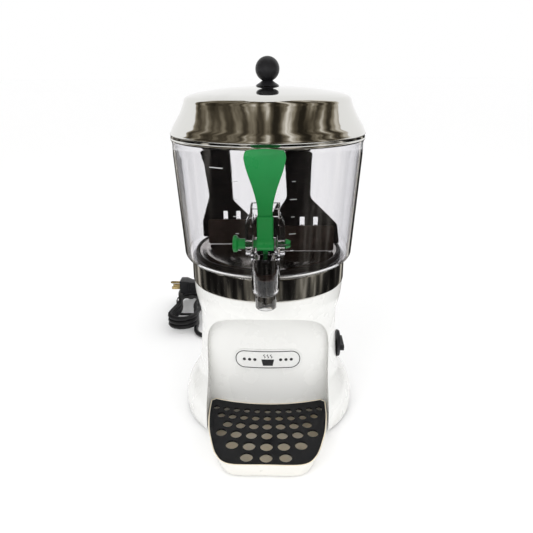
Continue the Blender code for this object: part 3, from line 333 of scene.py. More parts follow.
# Materials ----------------------------------------------------------------------------------------
class Look:
    """A node material under construction: a Principled shader and shorthand for the nodes that feed it."""

    def __init__(self, name, slot, color, roughness, metallic=0.0, **fixed):
        self.material = bpy.data.materials.new(name)
        self.material.use_nodes = True
        self.material["slot"] = slot
        self.tree = self.material.node_tree
        self.shader = self.tree.nodes["Principled BSDF"]
        self.place = self.node("ShaderNodeTexCoord").outputs["Object"]
        self.color = color
        self.roughness = roughness
        self.set("Base Color", (*color, 1.0))
        self.set("Roughness", roughness)
        self.set("Metallic", metallic)
        for socket, value in fixed.items():
            self.set(socket.replace("_", " "), value)

    def set(self, socket, value):
        """Constant on the shader's own socket."""
        self.shader.inputs[socket].default_value = value

    def node(self, kind, **inputs):
        """New node with some of its inputs set or linked."""
        made = self.tree.nodes.new(kind)
        for socket, value in inputs.items():
            self.feed(made.inputs[socket.replace("_", " ")], value)
        return made

    def feed(self, socket, value):
        """Link or set a socket."""
        if isinstance(value, bpy.types.NodeSocket):
            self.tree.links.new(value, socket)
        else:
            socket.default_value = value

    def math(self, operation, *values):
        """Arithmetic on numbers or sockets."""
        made = self.tree.nodes.new("ShaderNodeMath")
        made.operation = operation
        for socket, value in zip(made.inputs, values):
            self.feed(socket, value)
        return made.outputs[0]

    def stretched(self, scale):
        """Object coordinates scaled by three factors."""
        return self.node("ShaderNodeMapping", Vector=self.place, Scale=scale).outputs["Vector"]

    def noise(self, scale, detail=3.0, where=None, distortion=0.0):
        """Noise between 0 and 1."""
        made = self.node("ShaderNodeTexNoise", Vector=where or self.place, Scale=scale, Detail=detail,
                         Distortion=distortion)
        return made.outputs["Fac"]

    def cells(self, scale, where=None):
        """Distance to the nearest of scattered points."""
        return self.node("ShaderNodeTexVoronoi", Vector=where or self.place, Scale=scale).outputs["Distance"]

    def spread(self, value, first, last, to_first=0.0, to_last=1.0):
        """Value mapped from one range to another, clamped."""
        made = self.node("ShaderNodeMapRange", Value=value)
        made.inputs["From Min"].default_value = first
        made.inputs["From Max"].default_value = last
        made.inputs["To Min"].default_value = to_first
        made.inputs["To Max"].default_value = to_last
        return made.outputs["Result"]

    def tinted(self, share, other):
        """Mix the colour so far with another one."""
        made = self.tree.nodes.new("ShaderNodeMix")
        made.data_type = "RGBA"
        self.feed(made.inputs[0], share)
        current = self.shader.inputs["Base Color"]
        if current.is_linked:
            self.tree.links.new(current.links[0].from_socket, made.inputs[6])
        else:
            made.inputs[6].default_value = current.default_value
        made.inputs[7].default_value = (*other, 1.0)
        self.tree.links.new(made.outputs[2], current)
        return self

    def rough(self, value, least, most):
        """Roughness that follows a value between two limits."""
        self.feed(self.shader.inputs["Roughness"], self.spread(value, 0.3, 0.7, least, most))
        return self

    def bumped(self, height, distance, strength=0.5):
        """Relief from a height, added to what is there."""
        made = self.node("ShaderNodeBump", Height=height, Strength=strength, Distance=distance)
        current = self.shader.inputs["Normal"]
        if current.is_linked:
            self.tree.links.new(current.links[0].from_socket, made.inputs["Normal"])
        self.tree.links.new(made.outputs["Normal"], current)
        return self

    def axis_parts(self):
        """Distance from the machine's axis, angle round it, and height."""
        shifted = self.node("ShaderNodeVectorMath", **{"Vector": self.place})
        shifted.operation = "SUBTRACT"
        shifted.inputs[1].default_value = AXIS
        split = self.node("ShaderNodeSeparateXYZ", Vector=shifted.outputs[0])
        x, y, z = split.outputs
        radius = self.math("SQRT", self.math("ADD", self.math("MULTIPLY", x, x), self.math("MULTIPLY", y, y)))
        return radius, self.math("ARCTAN2", y, x), z

    def done(self):
        """The finished material."""
        return self.material


def moulded_white():
    """Glossy white shell: faint clouding, orange peel and a little grime low down."""
    look = Look("shell_white", "white_body", (0.80, 0.80, 0.78), 0.24, Coat_Weight=0.35, Coat_Roughness=0.12,
                Specular_IOR_Level=0.5)
    look.tinted(look.spread(look.noise(18, 4), 0.35, 0.85, 0.0, 0.5), (0.78, 0.775, 0.75))
    height = look.axis_parts()[2]
    low_down = look.spread(height, 0.004, 0.030, 1.0, 0.0)
    grime = look.math("MULTIPLY", low_down, look.spread(look.noise(60, 6), 0.45, 0.70, 0.0, 0.5))
    look.tinted(grime, (0.55, 0.53, 0.48))
    look.rough(look.noise(30, 5), 0.24, 0.30)
    look.bumped(look.noise(420, 2), 0.00006, 0.35)
    return look.done()


def moulded_tray():
    """Warm white basin with a satin surface; its upward faces get a lighter, warmer tint, partly drink stains and
    partly painted light.
    """
    look = Look("basin_white", "tray_white", (0.80, 0.785, 0.74), 0.32, Coat_Weight=0.2, Coat_Roughness=0.2)
    # upward faces tinted lighter and warmer: partly drink stains, partly painted light that brightens the basin
    # floor seen through the grille's holes
    facing = look.node("ShaderNodeSeparateXYZ",
                       Vector=look.node("ShaderNodeNewGeometry").outputs["Normal"]).outputs["Z"]
    stain_and_light_mottle = look.spread(look.noise(26, 5, distortion=0.6), 0.30, 0.60, 0.55, 1.0)
    look.tinted(look.math("MULTIPLY", stain_and_light_mottle, look.spread(facing, 0.5, 0.9)), (0.92, 0.80, 0.58))
    look.rough(look.noise(40, 4), 0.26, 0.42)
    look.bumped(look.noise(500, 2), 0.00005, 0.3)
    return look.done()


def gloss_black():
    """Mirror-black perforated plate with hairline scratches and dust."""
    look = Look("plate_black", "grille_black", (0.006, 0.006, 0.007), 0.09, Specular_IOR_Level=0.14)
    look.tinted(look.spread(look.cells(900), 0.05, 0.0, 0.0, 0.22), (0.35, 0.34, 0.32))
    scratches = look.noise(1.0, 3, look.stretched((60, 1400, 300)), 0.3)
    look.rough(look.noise(35, 5), 0.07, 0.20)
    look.bumped(look.spread(scratches, 0.60, 0.66), 0.00002, 0.25)
    return look.done()


def spun_steel(name, slot, color, least, most, relief):
    """Polished sheet with the fine rings of spinning and the smudges of hands."""
    look = Look(name, slot, color, least, 1.0)
    radius, angle, z = look.axis_parts()
    ring = look.node("ShaderNodeCombineXYZ", X=look.math("MULTIPLY", radius, 2600.0),
                     Y=look.math("MULTIPLY", angle, 2.5), Z=look.math("MULTIPLY", z, 2600.0)).outputs[0]
    rings = look.noise(1.0, 3, ring)
    smudges = look.noise(22, 5, distortion=0.8)
    look.tinted(look.spread(smudges, 0.50, 0.70, 0.0, 0.35), tuple(0.86 * c for c in color))
    wear = look.math("ADD", look.math("MULTIPLY", rings, 0.35), look.math("MULTIPLY", smudges, 0.65))
    look.rough(wear, least, most)
    look.bumped(rings, 0.00002, relief)
    look.bumped(look.noise(14, 2), 0.0012, 0.10)
    return look.done()


def clear_moulding():
    """Clear polycarbonate with faint flow lines, fine wash scratches, a trace of haze, and painted shade that
    greys it where it is seen edge-on.
    """
    look = Look("bowl_clear", "clear_plastic", (0.955, 0.950, 0.965), 0.015, Transmission_Weight=1.0,
                IOR=1.50,
                Specular_IOR_Level=0.5)
    # painted shade: the base colour turns grey-lavender where the wall is seen edge-on
    edge_on_shade = look.node("ShaderNodeLayerWeight", Blend=0.4).outputs["Facing"]
    look.tinted(look.spread(edge_on_shade, 0.30, 0.95), (0.84, 0.84, 0.88))
    haze = look.noise(24, 5, distortion=1.2)
    look.feed(look.shader.inputs["Roughness"], look.spread(haze, 0.45, 0.8, 0.008, 0.06))
    scratch = look.noise(1.0, 2, look.stretched((900, 900, 60)), 0.4)
    look.bumped(look.spread(scratch, 0.62, 0.68), 0.00001, 0.2)
    look.bumped(look.noise(9, 1), 0.0010, 0.06)
    return look.done()


def moulded_green():
    """Bright green moulding: painted light making the handle lighter towards its top, flow clouding, a worn satin
    and tiny nicks.
    """
    look = Look("lever_green", "green_plastic", (0.003, 0.150, 0.026), 0.30, Coat_Weight=0.25,
                Coat_Roughness=0.16,
                Specular_IOR_Level=0.3)
    height = look.axis_parts()[2]
    # painted light: the colour turns lighter green towards the top of the handle, as if lit from above
    painted_top_light = look.spread(height, 0.315, 0.378, 0.0, 0.75)
    look.tinted(painted_top_light, (0.012, 0.240, 0.060))
    look.tinted(look.spread(look.noise(55, 5), 0.50, 0.75, 0.0, 0.35), (0.002, 0.12, 0.022))
    look.rough(look.noise(45, 4), 0.24, 0.40)
    look.bumped(look.noise(650, 2), 0.00004, 0.35)
    look.bumped(look.spread(look.cells(260), 0.06, 0.0), 0.00006, 0.25)
    return look.done()


def grained_black(name, slot, color, least, most, grain, relief):
    """Black moulding or rubber with a fine grain, dust in the grain and worn patches."""
    look = Look(name, slot, color, least, Specular_IOR_Level=0.28)
    look.tinted(look.spread(look.noise(38, 5), 0.52, 0.75, 0.0, 0.5),
                tuple(min(1, 2.1 * c + 0.012) for c in color))
    look.tinted(look.spread(look.cells(1100), 0.07, 0.0, 0.0, 0.15), (0.30, 0.29, 0.27))
    look.rough(look.noise(50, 4), least, most)
    look.bumped(look.noise(grain, 3), 0.00008, relief)
    return look.done()


def paddle_moulding(name, slot, color, other, gloss):
    """Dark filled plastic with mottling and rub marks from the bowl."""
    look = Look(name, slot, color, gloss, Specular_IOR_Level=0.15)
    look.tinted(look.spread(look.noise(70, 6, distortion=0.5), 0.42, 0.72, 0.0, 0.7), other)
    streak = look.noise(1.0, 4, look.stretched((60, 60, 900)), 0.5)
    look.tinted(look.spread(streak, 0.62, 0.72, 0.0, 0.25), tuple(2.0 * c + 0.01 for c in other))
    look.rough(look.noise(60, 4), gloss * 0.8, gloss * 1.25)
    look.bumped(look.noise(700, 2), 0.00005, 0.4)
    return look.done()


def silicone(name, color, other):
    """Dark food silicone, matt with specks."""
    look = Look(name, "brown_silicone", color, 0.50, Specular_IOR_Level=0.4)
    look.tinted(look.spread(look.noise(120, 5), 0.45, 0.70, 0.0, 0.6), other)
    look.rough(look.noise(80, 3), 0.40, 0.62)
    look.bumped(look.noise(900, 2), 0.00004, 0.3)
    return look.done()


def sheet_metal(name, slot, color, least, most, spangle):
    """Plain plated metal with a crystalline spangle and drawing lines."""
    look = Look(name, slot, color, least, 1.0)
    look.tinted(look.spread(look.cells(spangle), 0.1, 0.6, 0.0, 0.5), tuple(0.72 * c for c in color))
    look.rough(look.noise(90, 4), least, most)
    drawn = look.noise(1.0, 2, look.stretched((1600, 50, 1600)))
    look.bumped(drawn, 0.00003, 0.25)
    return look.done()


def cast_metal():
    """Die-cast housing: sandy relief and dull patches."""
    look = Look("gearbox_cast", "cast_housing", (0.33, 0.33, 0.34), 0.5, 0.7)
    look.tinted(look.spread(look.noise(45, 5), 0.45, 0.7, 0.0, 0.6), (0.22, 0.22, 0.23))
    look.rough(look.noise(60, 4), 0.42, 0.66)
    look.bumped(look.noise(900, 3), 0.00012, 0.6)
    return look.done()


def hammered_paint():
    """Grey hammered paint on the motor can."""
    look = Look("can_paint", "motor_steel", (0.20, 0.21, 0.23), 0.40, 0.5, Coat_Weight=0.3)
    look.tinted(look.spread(look.cells(300), 0.1, 0.5, 0.0, 0.6), (0.30, 0.31, 0.33))
    look.rough(look.noise(70, 3), 0.32, 0.5)
    look.bumped(look.cells(320), 0.0001, 0.5)
    return look.done()


def turned_brass():
    """Turned brass with fine rings and dull tarnish."""
    look = Look("pin_brass", "brass", (0.62, 0.47, 0.23), 0.25, 1.0)
    look.tinted(look.spread(look.noise(120, 5), 0.45, 0.7, 0.0, 0.6), (0.40, 0.29, 0.13))
    look.rough(look.noise(160, 4), 0.20, 0.42)
    look.bumped(look.noise(1.0, 2, look.stretched((3000, 300, 300))), 0.00003, 0.3)
    return look.done()


def amber_lens():
    """Ribbed amber lens."""
    look = Look("lamp_amber", "amber_lamp", (0.85, 0.30, 0.04), 0.15, Coat_Weight=0.5)
    look.tinted(look.spread(look.noise(300, 3), 0.4, 0.7, 0.0, 0.5), (0.70, 0.18, 0.02))
    look.rough(look.noise(200, 3), 0.10, 0.25)
    look.bumped(look.node("ShaderNodeTexWave", Vector=look.place, Scale=380).outputs["Fac"], 0.0002, 0.5)
    return look.done()


def printed(name, slot, color, other):
    """Printed label or moulded mark: halftone mottling and a soft satin."""
    look = Look(name, slot, color, 0.38, Coat_Weight=0.25, Coat_Roughness=0.2)
    look.tinted(look.spread(look.noise(240, 4), 0.45, 0.7, 0.0, 0.5), other)
    look.rough(look.noise(60, 3), 0.30, 0.46)
    look.bumped(look.noise(1200, 2), 0.00002, 0.3)
    return look.done()


def frosted_mark():
    """Moulded scale marks: clear plastic left rough, so that they catch the light."""
    look = Look("scale_frost", "clear_plastic", (0.80, 0.81, 0.82), 0.45, Transmission_Weight=0.35, IOR=1.45)
    look.tinted(look.spread(look.noise(500, 3), 0.4, 0.7, 0.0, 0.5), (0.62, 0.63, 0.64))
    look.rough(look.noise(400, 3), 0.35, 0.60)
    look.bumped(look.noise(1500, 2), 0.00003, 0.5)
    return look.done()


LOOKS = {
    "white": moulded_white(),
    "tray": moulded_tray(),
    "grille": gloss_black(),
    "lid": spun_steel("lid_steel", "polished_steel", (0.72, 0.715, 0.69), 0.035, 0.11, 0.12),
    "collar": spun_steel("collar_steel", "polished_steel", (0.60, 0.585, 0.55), 0.05, 0.16, 0.18),
    "pan": spun_steel("pan_steel", "pan_steel", (0.46, 0.44, 0.42), 0.14, 0.30, 0.45),
    "clear": clear_moulding(),
    "green": moulded_green(),
    "ball": grained_black("knob_black", "black_plastic", (0.012, 0.012, 0.014), 0.34, 0.50, 900, 0.30),
    "black": grained_black("switch_black", "black_plastic", (0.014, 0.014, 0.016), 0.36, 0.52, 1100, 0.35),
    "rubber": grained_black("foot_rubber", "dark_rubber", (0.020, 0.020, 0.020), 0.65, 0.85, 600, 0.50),
    "cord": grained_black("cord_black", "cord_pvc", (0.010, 0.010, 0.011), 0.34, 0.52, 1300, 0.35),
    "piston": grained_black("piston_dark", "black_plastic", (0.004, 0.003, 0.003), 0.25, 0.42, 900, 0.25),
    "paddle": paddle_moulding("paddle_dark", "paddle_plastic", (0.028, 0.023, 0.024),
                              (0.046, 0.038, 0.037), 0.42),
    "scraper": paddle_moulding("scraper_brown", "scraper_plastic", (0.095, 0.066, 0.056),
                               (0.14, 0.10, 0.085), 0.48),
    "silicone": silicone("gasket_brown", (0.030, 0.022, 0.018), (0.060, 0.048, 0.040)),
    "seal": silicone("seal_brown", (0.040, 0.014, 0.009), (0.075, 0.028, 0.018)),
    "plated": sheet_metal("plated_steel", "plain_steel", (0.52, 0.52, 0.52), 0.28, 0.48, 130),
    "cast": cast_metal(),
    "can": hammered_paint(),
    "brass": turned_brass(),
    "lamp": amber_lens(),
    "badge": printed("badge_pale", "badge_face", (0.78, 0.78, 0.765), (0.70, 0.70, 0.68)),
    "ink": printed("badge_ink", "black_plastic", (0.012, 0.012, 0.014), (0.030, 0.030, 0.032)),
    "mark": printed("mark_white", "white_mark", (0.78, 0.78, 0.75), (0.66, 0.66, 0.63)),
    "frost": frosted_mark(),
}


# Camera, floor and light --------------------------------------------------------------------------
def aim_camera():
    """Camera a little to the right of the machine's front, looking down at it."""
    away, up, azimuth = 0.653, 0.449, math.radians(1.3)
    pitch, yaw, roll = math.radians(20.66), math.radians(0.21), math.radians(-0.33)
    data = bpy.data.cameras.new("camera")
    data.lens, data.sensor_width = 35.12, 36.0
    camera = bpy.data.objects.new("camera", data)
    camera.location = AXIS + Vector((away * math.sin(azimuth), -away * math.cos(azimuth), up))
    level = Matrix.Rotation(azimuth + yaw, 4, "Z") @ Matrix.Rotation(math.pi / 2 - pitch, 4, "X")
    camera.rotation_euler = (level @ Matrix.Rotation(roll, 4, "Z")).to_euler()
    bpy.context.collection.objects.link(camera)
    bpy.context.scene.camera = camera


def room_panel(name, distance, azimuths, elevations, base, tint, glow, streaks, seed):
    """Curved card round the set, between two compass angles from the front and two heights in degrees.

    It only shows in mirrors, as dim warm walls crossed by upright streaks of light."""
    mesh = bmesh.new()
    layer = mesh.loops.layers.uv.new("room")
    columns, rows = 60, 10
    grid = []
    for column in range(columns + 1):
        azimuth = math.radians(azimuths[0] + (azimuths[1] - azimuths[0]) * column / columns)
        line = []
        for row in range(rows + 1):
            up = math.radians(elevations[0] + (elevations[1] - elevations[0]) * row / rows)
            flat = distance * math.cos(up)
            spot = (flat * math.sin(azimuth), AXIS.y - flat * math.cos(azimuth),
                    0.3 + distance * math.sin(up))
            line.append(mesh.verts.new(spot))
        grid.append(line)
    for column in range(columns):
        for row in range(rows):
            face = mesh.faces.new((grid[column][row], grid[column + 1][row], grid[column + 1][row + 1],
                                   grid[column][row + 1]))
            for loop, (u, v) in zip(face.loops,
                                    ((column, row), (column + 1, row), (column + 1, row + 1),
                                     (column, row + 1))):
                loop[layer].uv = (u / columns, v / rows)
    made = as_object(mesh, name)
    look = bpy.data.materials.new(name)
    look.use_nodes = True
    tree = look.node_tree
    tree.nodes.remove(tree.nodes["Principled BSDF"])
    place = tree.nodes.new("ShaderNodeTexCoord")
    stretch = tree.nodes.new("ShaderNodeMapping")
    stretch.inputs["Scale"].default_value = (streaks, 0.7, 1.0)
    stretch.inputs["Location"].default_value = (seed, seed, 0.0)
    tree.links.new(place.outputs["UV"], stretch.inputs["Vector"])
    noise = tree.nodes.new("ShaderNodeTexNoise")
    noise.inputs["Scale"].default_value = 1.0
    noise.inputs["Detail"].default_value = 3.0
    tree.links.new(stretch.outputs["Vector"], noise.inputs["Vector"])
    ramp = tree.nodes.new("ShaderNodeValToRGB")
    stops = ramp.color_ramp.elements
    stops[0].position, stops[0].color = 0.38, (*(0.25 * c for c in base), 1.0)
    stops[1].position, stops[1].color = 0.70, (*glow, 1.0)
    for position, color in ((0.47, base), (0.56, tint)):
        stops.new(position).color = (*color, 1.0)
    tree.links.new(noise.outputs["Fac"], ramp.inputs["Fac"])
    light = tree.nodes.new("ShaderNodeEmission")
    tree.links.new(ramp.outputs["Color"], light.inputs["Color"])
    tree.links.new(light.outputs[0], tree.nodes["Material Output"].inputs["Surface"])
    made.data.materials.append(look)
    for ray in ("camera", "diffuse", "volume_scatter", "shadow"):
        setattr(made, f"visible_{ray}", False)


def area_light(name, at, size, power, color=(1, 1, 1)):
    """Soft rectangular lamp aimed at the bowl."""
    data = bpy.data.lights.new(name, "AREA")
    data.shape = "RECTANGLE"
    data.size, data.size_y = size
    data.energy = power
    data.color = color
    lamp = bpy.data.objects.new(name, data)
    lamp.location = at
    lamp.visible_glossy = False
    lamp.rotation_euler = (AXIS + Vector((0, 0, 0.2)) - Vector(at)).to_track_quat("-Z", "Y").to_euler()
    bpy.context.collection.objects.link(lamp)


def light_the_set():
    """Pale floor, white surroundings, two soft lamps, and dark cards for the steel to mirror."""
    mesh = bmesh.new()
    bmesh.ops.create_grid(mesh, x_segments=1, y_segments=1, size=30)
    floor = as_object(mesh, "floor")
    look = bpy.data.materials.new("floor_pale")
    look.use_nodes = True
    shader = look.node_tree.nodes["Principled BSDF"]
    shader.inputs["Base Color"].default_value = (1.0, 1.0, 1.0, 1.0)
    shader.inputs["Roughness"].default_value = 0.9
    floor.data.materials.append(look)
    world = bpy.data.worlds.new("studio")
    bpy.context.scene.world = world
    world.use_nodes = True
    world.node_tree.nodes["Background"].inputs["Color"].default_value = (1.0, 1.0, 1.0, 1.0)
    world.node_tree.nodes["Background"].inputs["Strength"].default_value = 1.0
    bpy.context.scene.view_settings.view_transform = "Standard"
    area_light("key", (-0.9, -1.4, 1.6), (0.9, 0.6), 6)
    area_light("fill", (1.3, -0.8, 1.0), (0.8, 0.8), 2)
    area_light("low", (0.1, -1.3, 0.35), (0.9, 0.4), 2.5)
    pale = (1.05, 1.0, 0.92)
    room_panel("room_high", 4.0, (-110, 110), (4, 74), (0.085, 0.070, 0.048), (0.27, 0.235, 0.175), pale,
               12, 3.7)
    room_panel("room_low", 0.45, (-150, 150), (-41, 6), (0.022, 0.021, 0.020), (0.16, 0.15, 0.13), pale,
               22, 8.1)


aim_camera()


# Cord ---------------------------------------------------------------------------------------------
HANK = middle("cord_hank")
HANK_HALF = (high("cord_hank") - low("cord_hank")) / 2
GLAND = Vector((middle("strain_relief").x, high("strain_relief").y, middle("strain_relief").z))
PLUG = middle("plug_body")


def wound(turns, steps=44):
    """Centreline of the hank: a narrow-waisted racetrack wound up in layers just over a diameter apart."""
    fold = HANK_HALF.x - CORD_R - 0.0004
    half_run = HANK_HALF.y - HANK_HALF.x
    lap = 4 * half_run + math.tau * fold
    rise = (2 * HANK_HALF.z - 2 * CORD_R) / turns
    points = []
    for step in range(int(turns * steps) + 1):
        along = lap * step / steps
        leg, rest = divmod(along % lap, lap / 2)
        side = 1 - 2 * leg
        angle = max(0.0, rest - 2 * half_run) / fold
        y = min(rest, 2 * half_run) - half_run
        waist = 1 - 0.36 * math.cos(math.pi * y / (2 * half_run)) ** 2
        wander = 0.0005 * math.sin(5 * along / lap * math.tau)
        x = (fold * math.cos(angle) if angle else fold * waist) + wander
        points.append((HANK.x + side * x, HANK.y + side * (y + fold * math.sin(angle)),
                       HANK.z - HANK_HALF.z + CORD_R + rise * along / lap))
    return points


def cord_route():
    """The whole cord as one line: out of the gland, down to the table, round the hank and to the plug."""
    lying = CORD_R + GAP
    coil = wound(3.0)
    right = coil[0][0]
    lead = [(GLAND.x, GLAND.y, GLAND.z), (GLAND.x, GLAND.y + 0.010, GLAND.z),
            (GLAND.x - 0.004, GLAND.y + 0.026, 0.018), (GLAND.x - 0.024, GLAND.y + 0.038, lying + 0.002),
            (GLAND.x - 0.055, GLAND.y + 0.035, lying), (right + 0.026, GLAND.y + 0.028, lying),
            (right + 0.009, GLAND.y + 0.035, lying), (right + 0.001, GLAND.y + 0.052, lying), coil[0]]
    top = coil[-1][2]
    entry = high("plug_body").x + GAP
    tail = [coil[-1], (right + 0.008, HANK.y - 0.028, top), (right + 0.024, HANK.y - 0.006, top),
            (right + 0.031, HANK.y + 0.014, top + 0.005), (right + 0.022, PLUG.y - 0.009, PLUG.z - 0.003),
            (entry + 0.012, PLUG.y, PLUG.z), (entry, PLUG.y, PLUG.z)]
    return flowing(lead, 4)[:-1] + coil[:-1] + flowing(tail, 5)


def bar(name, points, radius, sides=6, cyclic=False):
    """Round bar along points, as a curve."""
    curve = bpy.data.curves.new(name, "CURVE")
    curve.dimensions = "3D"
    curve.bevel_depth = radius
    curve.bevel_resolution = sides
    curve.use_fill_caps = True
    spline = curve.splines.new("POLY")
    spline.points.add(len(points) - 1)
    spline.use_cyclic_u = cyclic
    for slot, point in zip(spline.points, points):
        slot.co = (*(Vector(point) + AXIS), 1.0)
    made = bpy.data.objects.new(name, curve)
    bpy.context.collection.objects.link(made)
    return made


def lay_cord():
    """Flexible cord with the relief it leaves, the strap round its hank, and its plug."""
    relief = [(0, -0.010), (0.0062, -0.010), (0.0062, 0.0036), (0.0095, 0.0036), (0.0097, 0.0042),
              (0.0095, 0.0062), (0.0076, 0.0068)]
    start, reach = 0.0068, GLAND.y - 0.1140
    ribs = 7
    for rib in range(ribs):
        z = start + (reach - start) * rib / ribs
        radius = 0.0074 - 0.0022 * rib / ribs
        pitch = (reach - start) / ribs
        relief += [(radius, z + 0.10 * pitch), (radius, z + 0.58 * pitch),
                   (radius - 0.0009, z + 0.68 * pitch),
                   (radius - 0.0009, z + 0.95 * pitch)]
    relief += [(0.0050, reach), (0, reach)]
    sleeve = moved(moved(revolve(relief, 40), turn=Matrix.Rotation(-math.pi / 2, 4, "X")),
                   (GLAND.x, 0.1140, GLAND.z))
    piece("cord_relief", sleeve, LOOKS["cord"], "stand", ("strain_relief",), edge=0.0002)
    route = cord_route()
    flex = piece("mains_cord", bar("mains_cord", route, CORD_R), LOOKS["cord"], "stand",
                 ("power_cord", "cord_hank", "plug_tail"))
    fitted = [hank_strap(), *plug_pieces()]


def hank_strap():
    """Rubber strap pulled tight round the waist of the hank."""
    half_x = (HANK_HALF.x - CORD_R) * 0.64 + CORD_R + 0.0010
    height = 2 * HANK_HALF.z + 0.0012
    ring = box_outline(half_x, height / 2, 0.006, (0, height / 2), 8)
    outer = moved(front_prism(offset(ring, -0.0013, True), -0.0038, 0.0038), (HANK.x, HANK.y, 0.0014))
    inner = moved(front_prism(ring, -0.02, 0.02), (HANK.x, HANK.y, 0.0014))
    knot = softened(block((HANK.x + 0.002, HANK.y - 0.0065, height + 0.0010),
                          (HANK.x + 0.012, HANK.y + 0.0065, height + 0.0042), 0.002), 0.0008)
    return piece("hank_strap", join(cut(outer, inner), knot), LOOKS["rubber"], "stand", ("cord_tie",))


def plug_pieces():
    """Moulded three-pin plug: waisted grip with ribs, and its brass pins."""
    face, back = low("plug_body").x, high("plug_body").x
    half = (back - face) / 2
    outline = rounded([(-half, -0.0125, 0.003), (-half, 0.0125, 0.003), (-0.004, 0.0125, 0.006),
                       (0.006, 0.0095, 0.006), (half, 0.0080, 0.003), (half, -0.0080, 0.003),
                       (0.006, -0.0095, 0.006),
                       (-0.004, -0.0125, 0.006)][::-1])
    plan = prism(outline, -0.0125, 0.0125)
    sides = front_prism(outline, -0.03, 0.03)
    body = softened(boolean("INTERSECT", plan, sides), 0.0016, 3, 50)
    grooves = [block((0.0005 + step * 0.0032, -0.03, -0.0070), (0.0017 + step * 0.0032, 0.03, 0.0070))
               for step in range(4)]
    middle_part = prism(offset(outline, 0.0009, True), -0.03, 0.03)
    body = cut(body, cut(group(grooves), middle_part))
    shell = piece("plug_grip", moved(body, tuple(PLUG)), LOOKS["black"], "stand", ("plug_body",))
    pins = []
    for name, across in (("plug_pin_left", -0.0065), ("plug_pin_right", 0.0065)):
        first, last = low(name), high(name)
        pin = block((first.x, first.y, first.z), (last.x, last.y, last.z))
        pins.append(piece(f"{name}_blade", softened(pin, 0.0005), LOOKS["brass"], "stand", (name,)))
    earth = middle("plug_pin_earth")
    rod = revolve([(0, 0), (0.0024, 0), (0.0024, 0.0165), (0.0019, 0.0182), (0.0010, 0.0189), (0, 0.0190)],
                  32)
    rod = moved(moved(rod, turn=Matrix.Rotation(-math.pi / 2, 4, "Y")),
                (high("plug_pin_earth").x, earth.y, earth.z))
    pins.append(piece("plug_pin_earth_rod", rod, LOOKS["brass"], "stand", ("plug_pin_earth",)))
    return [shell, *pins]


lay_cord()


# Stand --------------------------------------------------------------------------------------------
def shell_path(steps):
    """Outer side of the stand from its foot to its top, as (radius, z)."""
    return flowing([(0.1168, SHELL_LOW), (PEDESTAL_R, 0.012), (0.1164, 0.028), (0.1118, 0.041),
                    (0.1048, 0.0525),
                    (0.0984, 0.0625), (0.0957, 0.075), (0.0940, 0.090), (0.0925, 0.114), (0.0918, 0.137),
                    (0.0925, 0.152), (0.0953, 0.1647), (0.0976, 0.177), (0.0986, SHELL_TOP)], steps)


def bay_arch(extra, steps):
    """Mouth of the bay as (x, z), counter-clockwise: upright sides below a squarish arch."""
    half, rise = BAY_HALF + extra, BAY_TOP + extra - BAY_SHOULDER
    arch = []
    for step in range(steps + 1):
        angle = math.pi * step / steps
        across, up = math.cos(angle), math.sin(angle)
        x = math.copysign(abs(across) ** (2 / BAY_SQUARENESS), across)
        arch.append((half * x, BAY_SHOULDER + rise * up ** (2 / BAY_SQUARENESS)))
    return [(half, -0.02), *arch, (-half, -0.02)]


def bay_space(extra=0.0):
    """Space taken out of the front of the stand for the cup and the drip tray, grown by extra."""
    front = front_prism(bay_arch(extra, 56), -0.150, -0.030)
    bulge = moved(cylinder(BAY_BOW_R, -0.03, 0.20, 360), (0, BAY_BOW_R - BAY_FRONT + extra, 0))
    return cut(front, bulge)


def body_shell():
    """White moulded stand with the cup bay, the dial seat, the rear panel and the cooling slots."""
    panel_z = middle("power_switch").z
    switch_x, lamp = middle("power_switch").x, middle("heating_lamp")
    outer = revolve([(0, SHELL_LOW), *shell_path(4), (0, SHELL_TOP)], 192)
    path = [(radius - SHELL_WALL, z) for radius, z in shell_path(2)]
    inner = revolve([(0, -0.01), (path[0][0], -0.01), *path, (path[-1][0], 0.21), (0, 0.21)], 96)
    rear_pad = softened(block((-0.034, 0.080, panel_z - 0.022), (0.034, REAR_PAD, panel_z + 0.022), 0.002),
                        0.0008)
    hollow = cut(inner, bay_space(SHELL_WALL), block((-0.033, 0.0895, 0.09), (0.033, 0.11, 0.134)))
    shell = cut(join(outer, rear_pad), bay_space(), hollow)
    seat_r = DIAL_R + 0.0015
    seat = revolve([(0, 0.080), (0.0045, 0.080), (0.0045, DIAL_SEAT), (seat_r, DIAL_SEAT), (seat_r, 0.12),
                    (0, 0.12)], 64)
    half_x, half_z = 0.0068, 0.0100
    holes = [moved(facing_side(seat), (0, 0, DIAL_Z)),
             block((switch_x - half_x, 0.07, panel_z - half_z), (switch_x + half_x, 0.12, panel_z + half_z)),
             rod_along_y(0.0050, 0.07, 0.12, lamp.x, panel_z),
             rod_along_y(0.0065, 0.10, 0.13, GLAND.x, GLAND.z)]
    for column in range(-3, 4):
        slot = box_outline(0.0015, 0.009, 0.0014, (column * 0.009, 0.165))
        holes.append(front_prism(slot, 0.07, 0.12))
    piece("stand_shell", cut(shell, group(holes)), LOOKS["white"], "stand", ("body_shell",), edge=0.0009,
          angle=38)


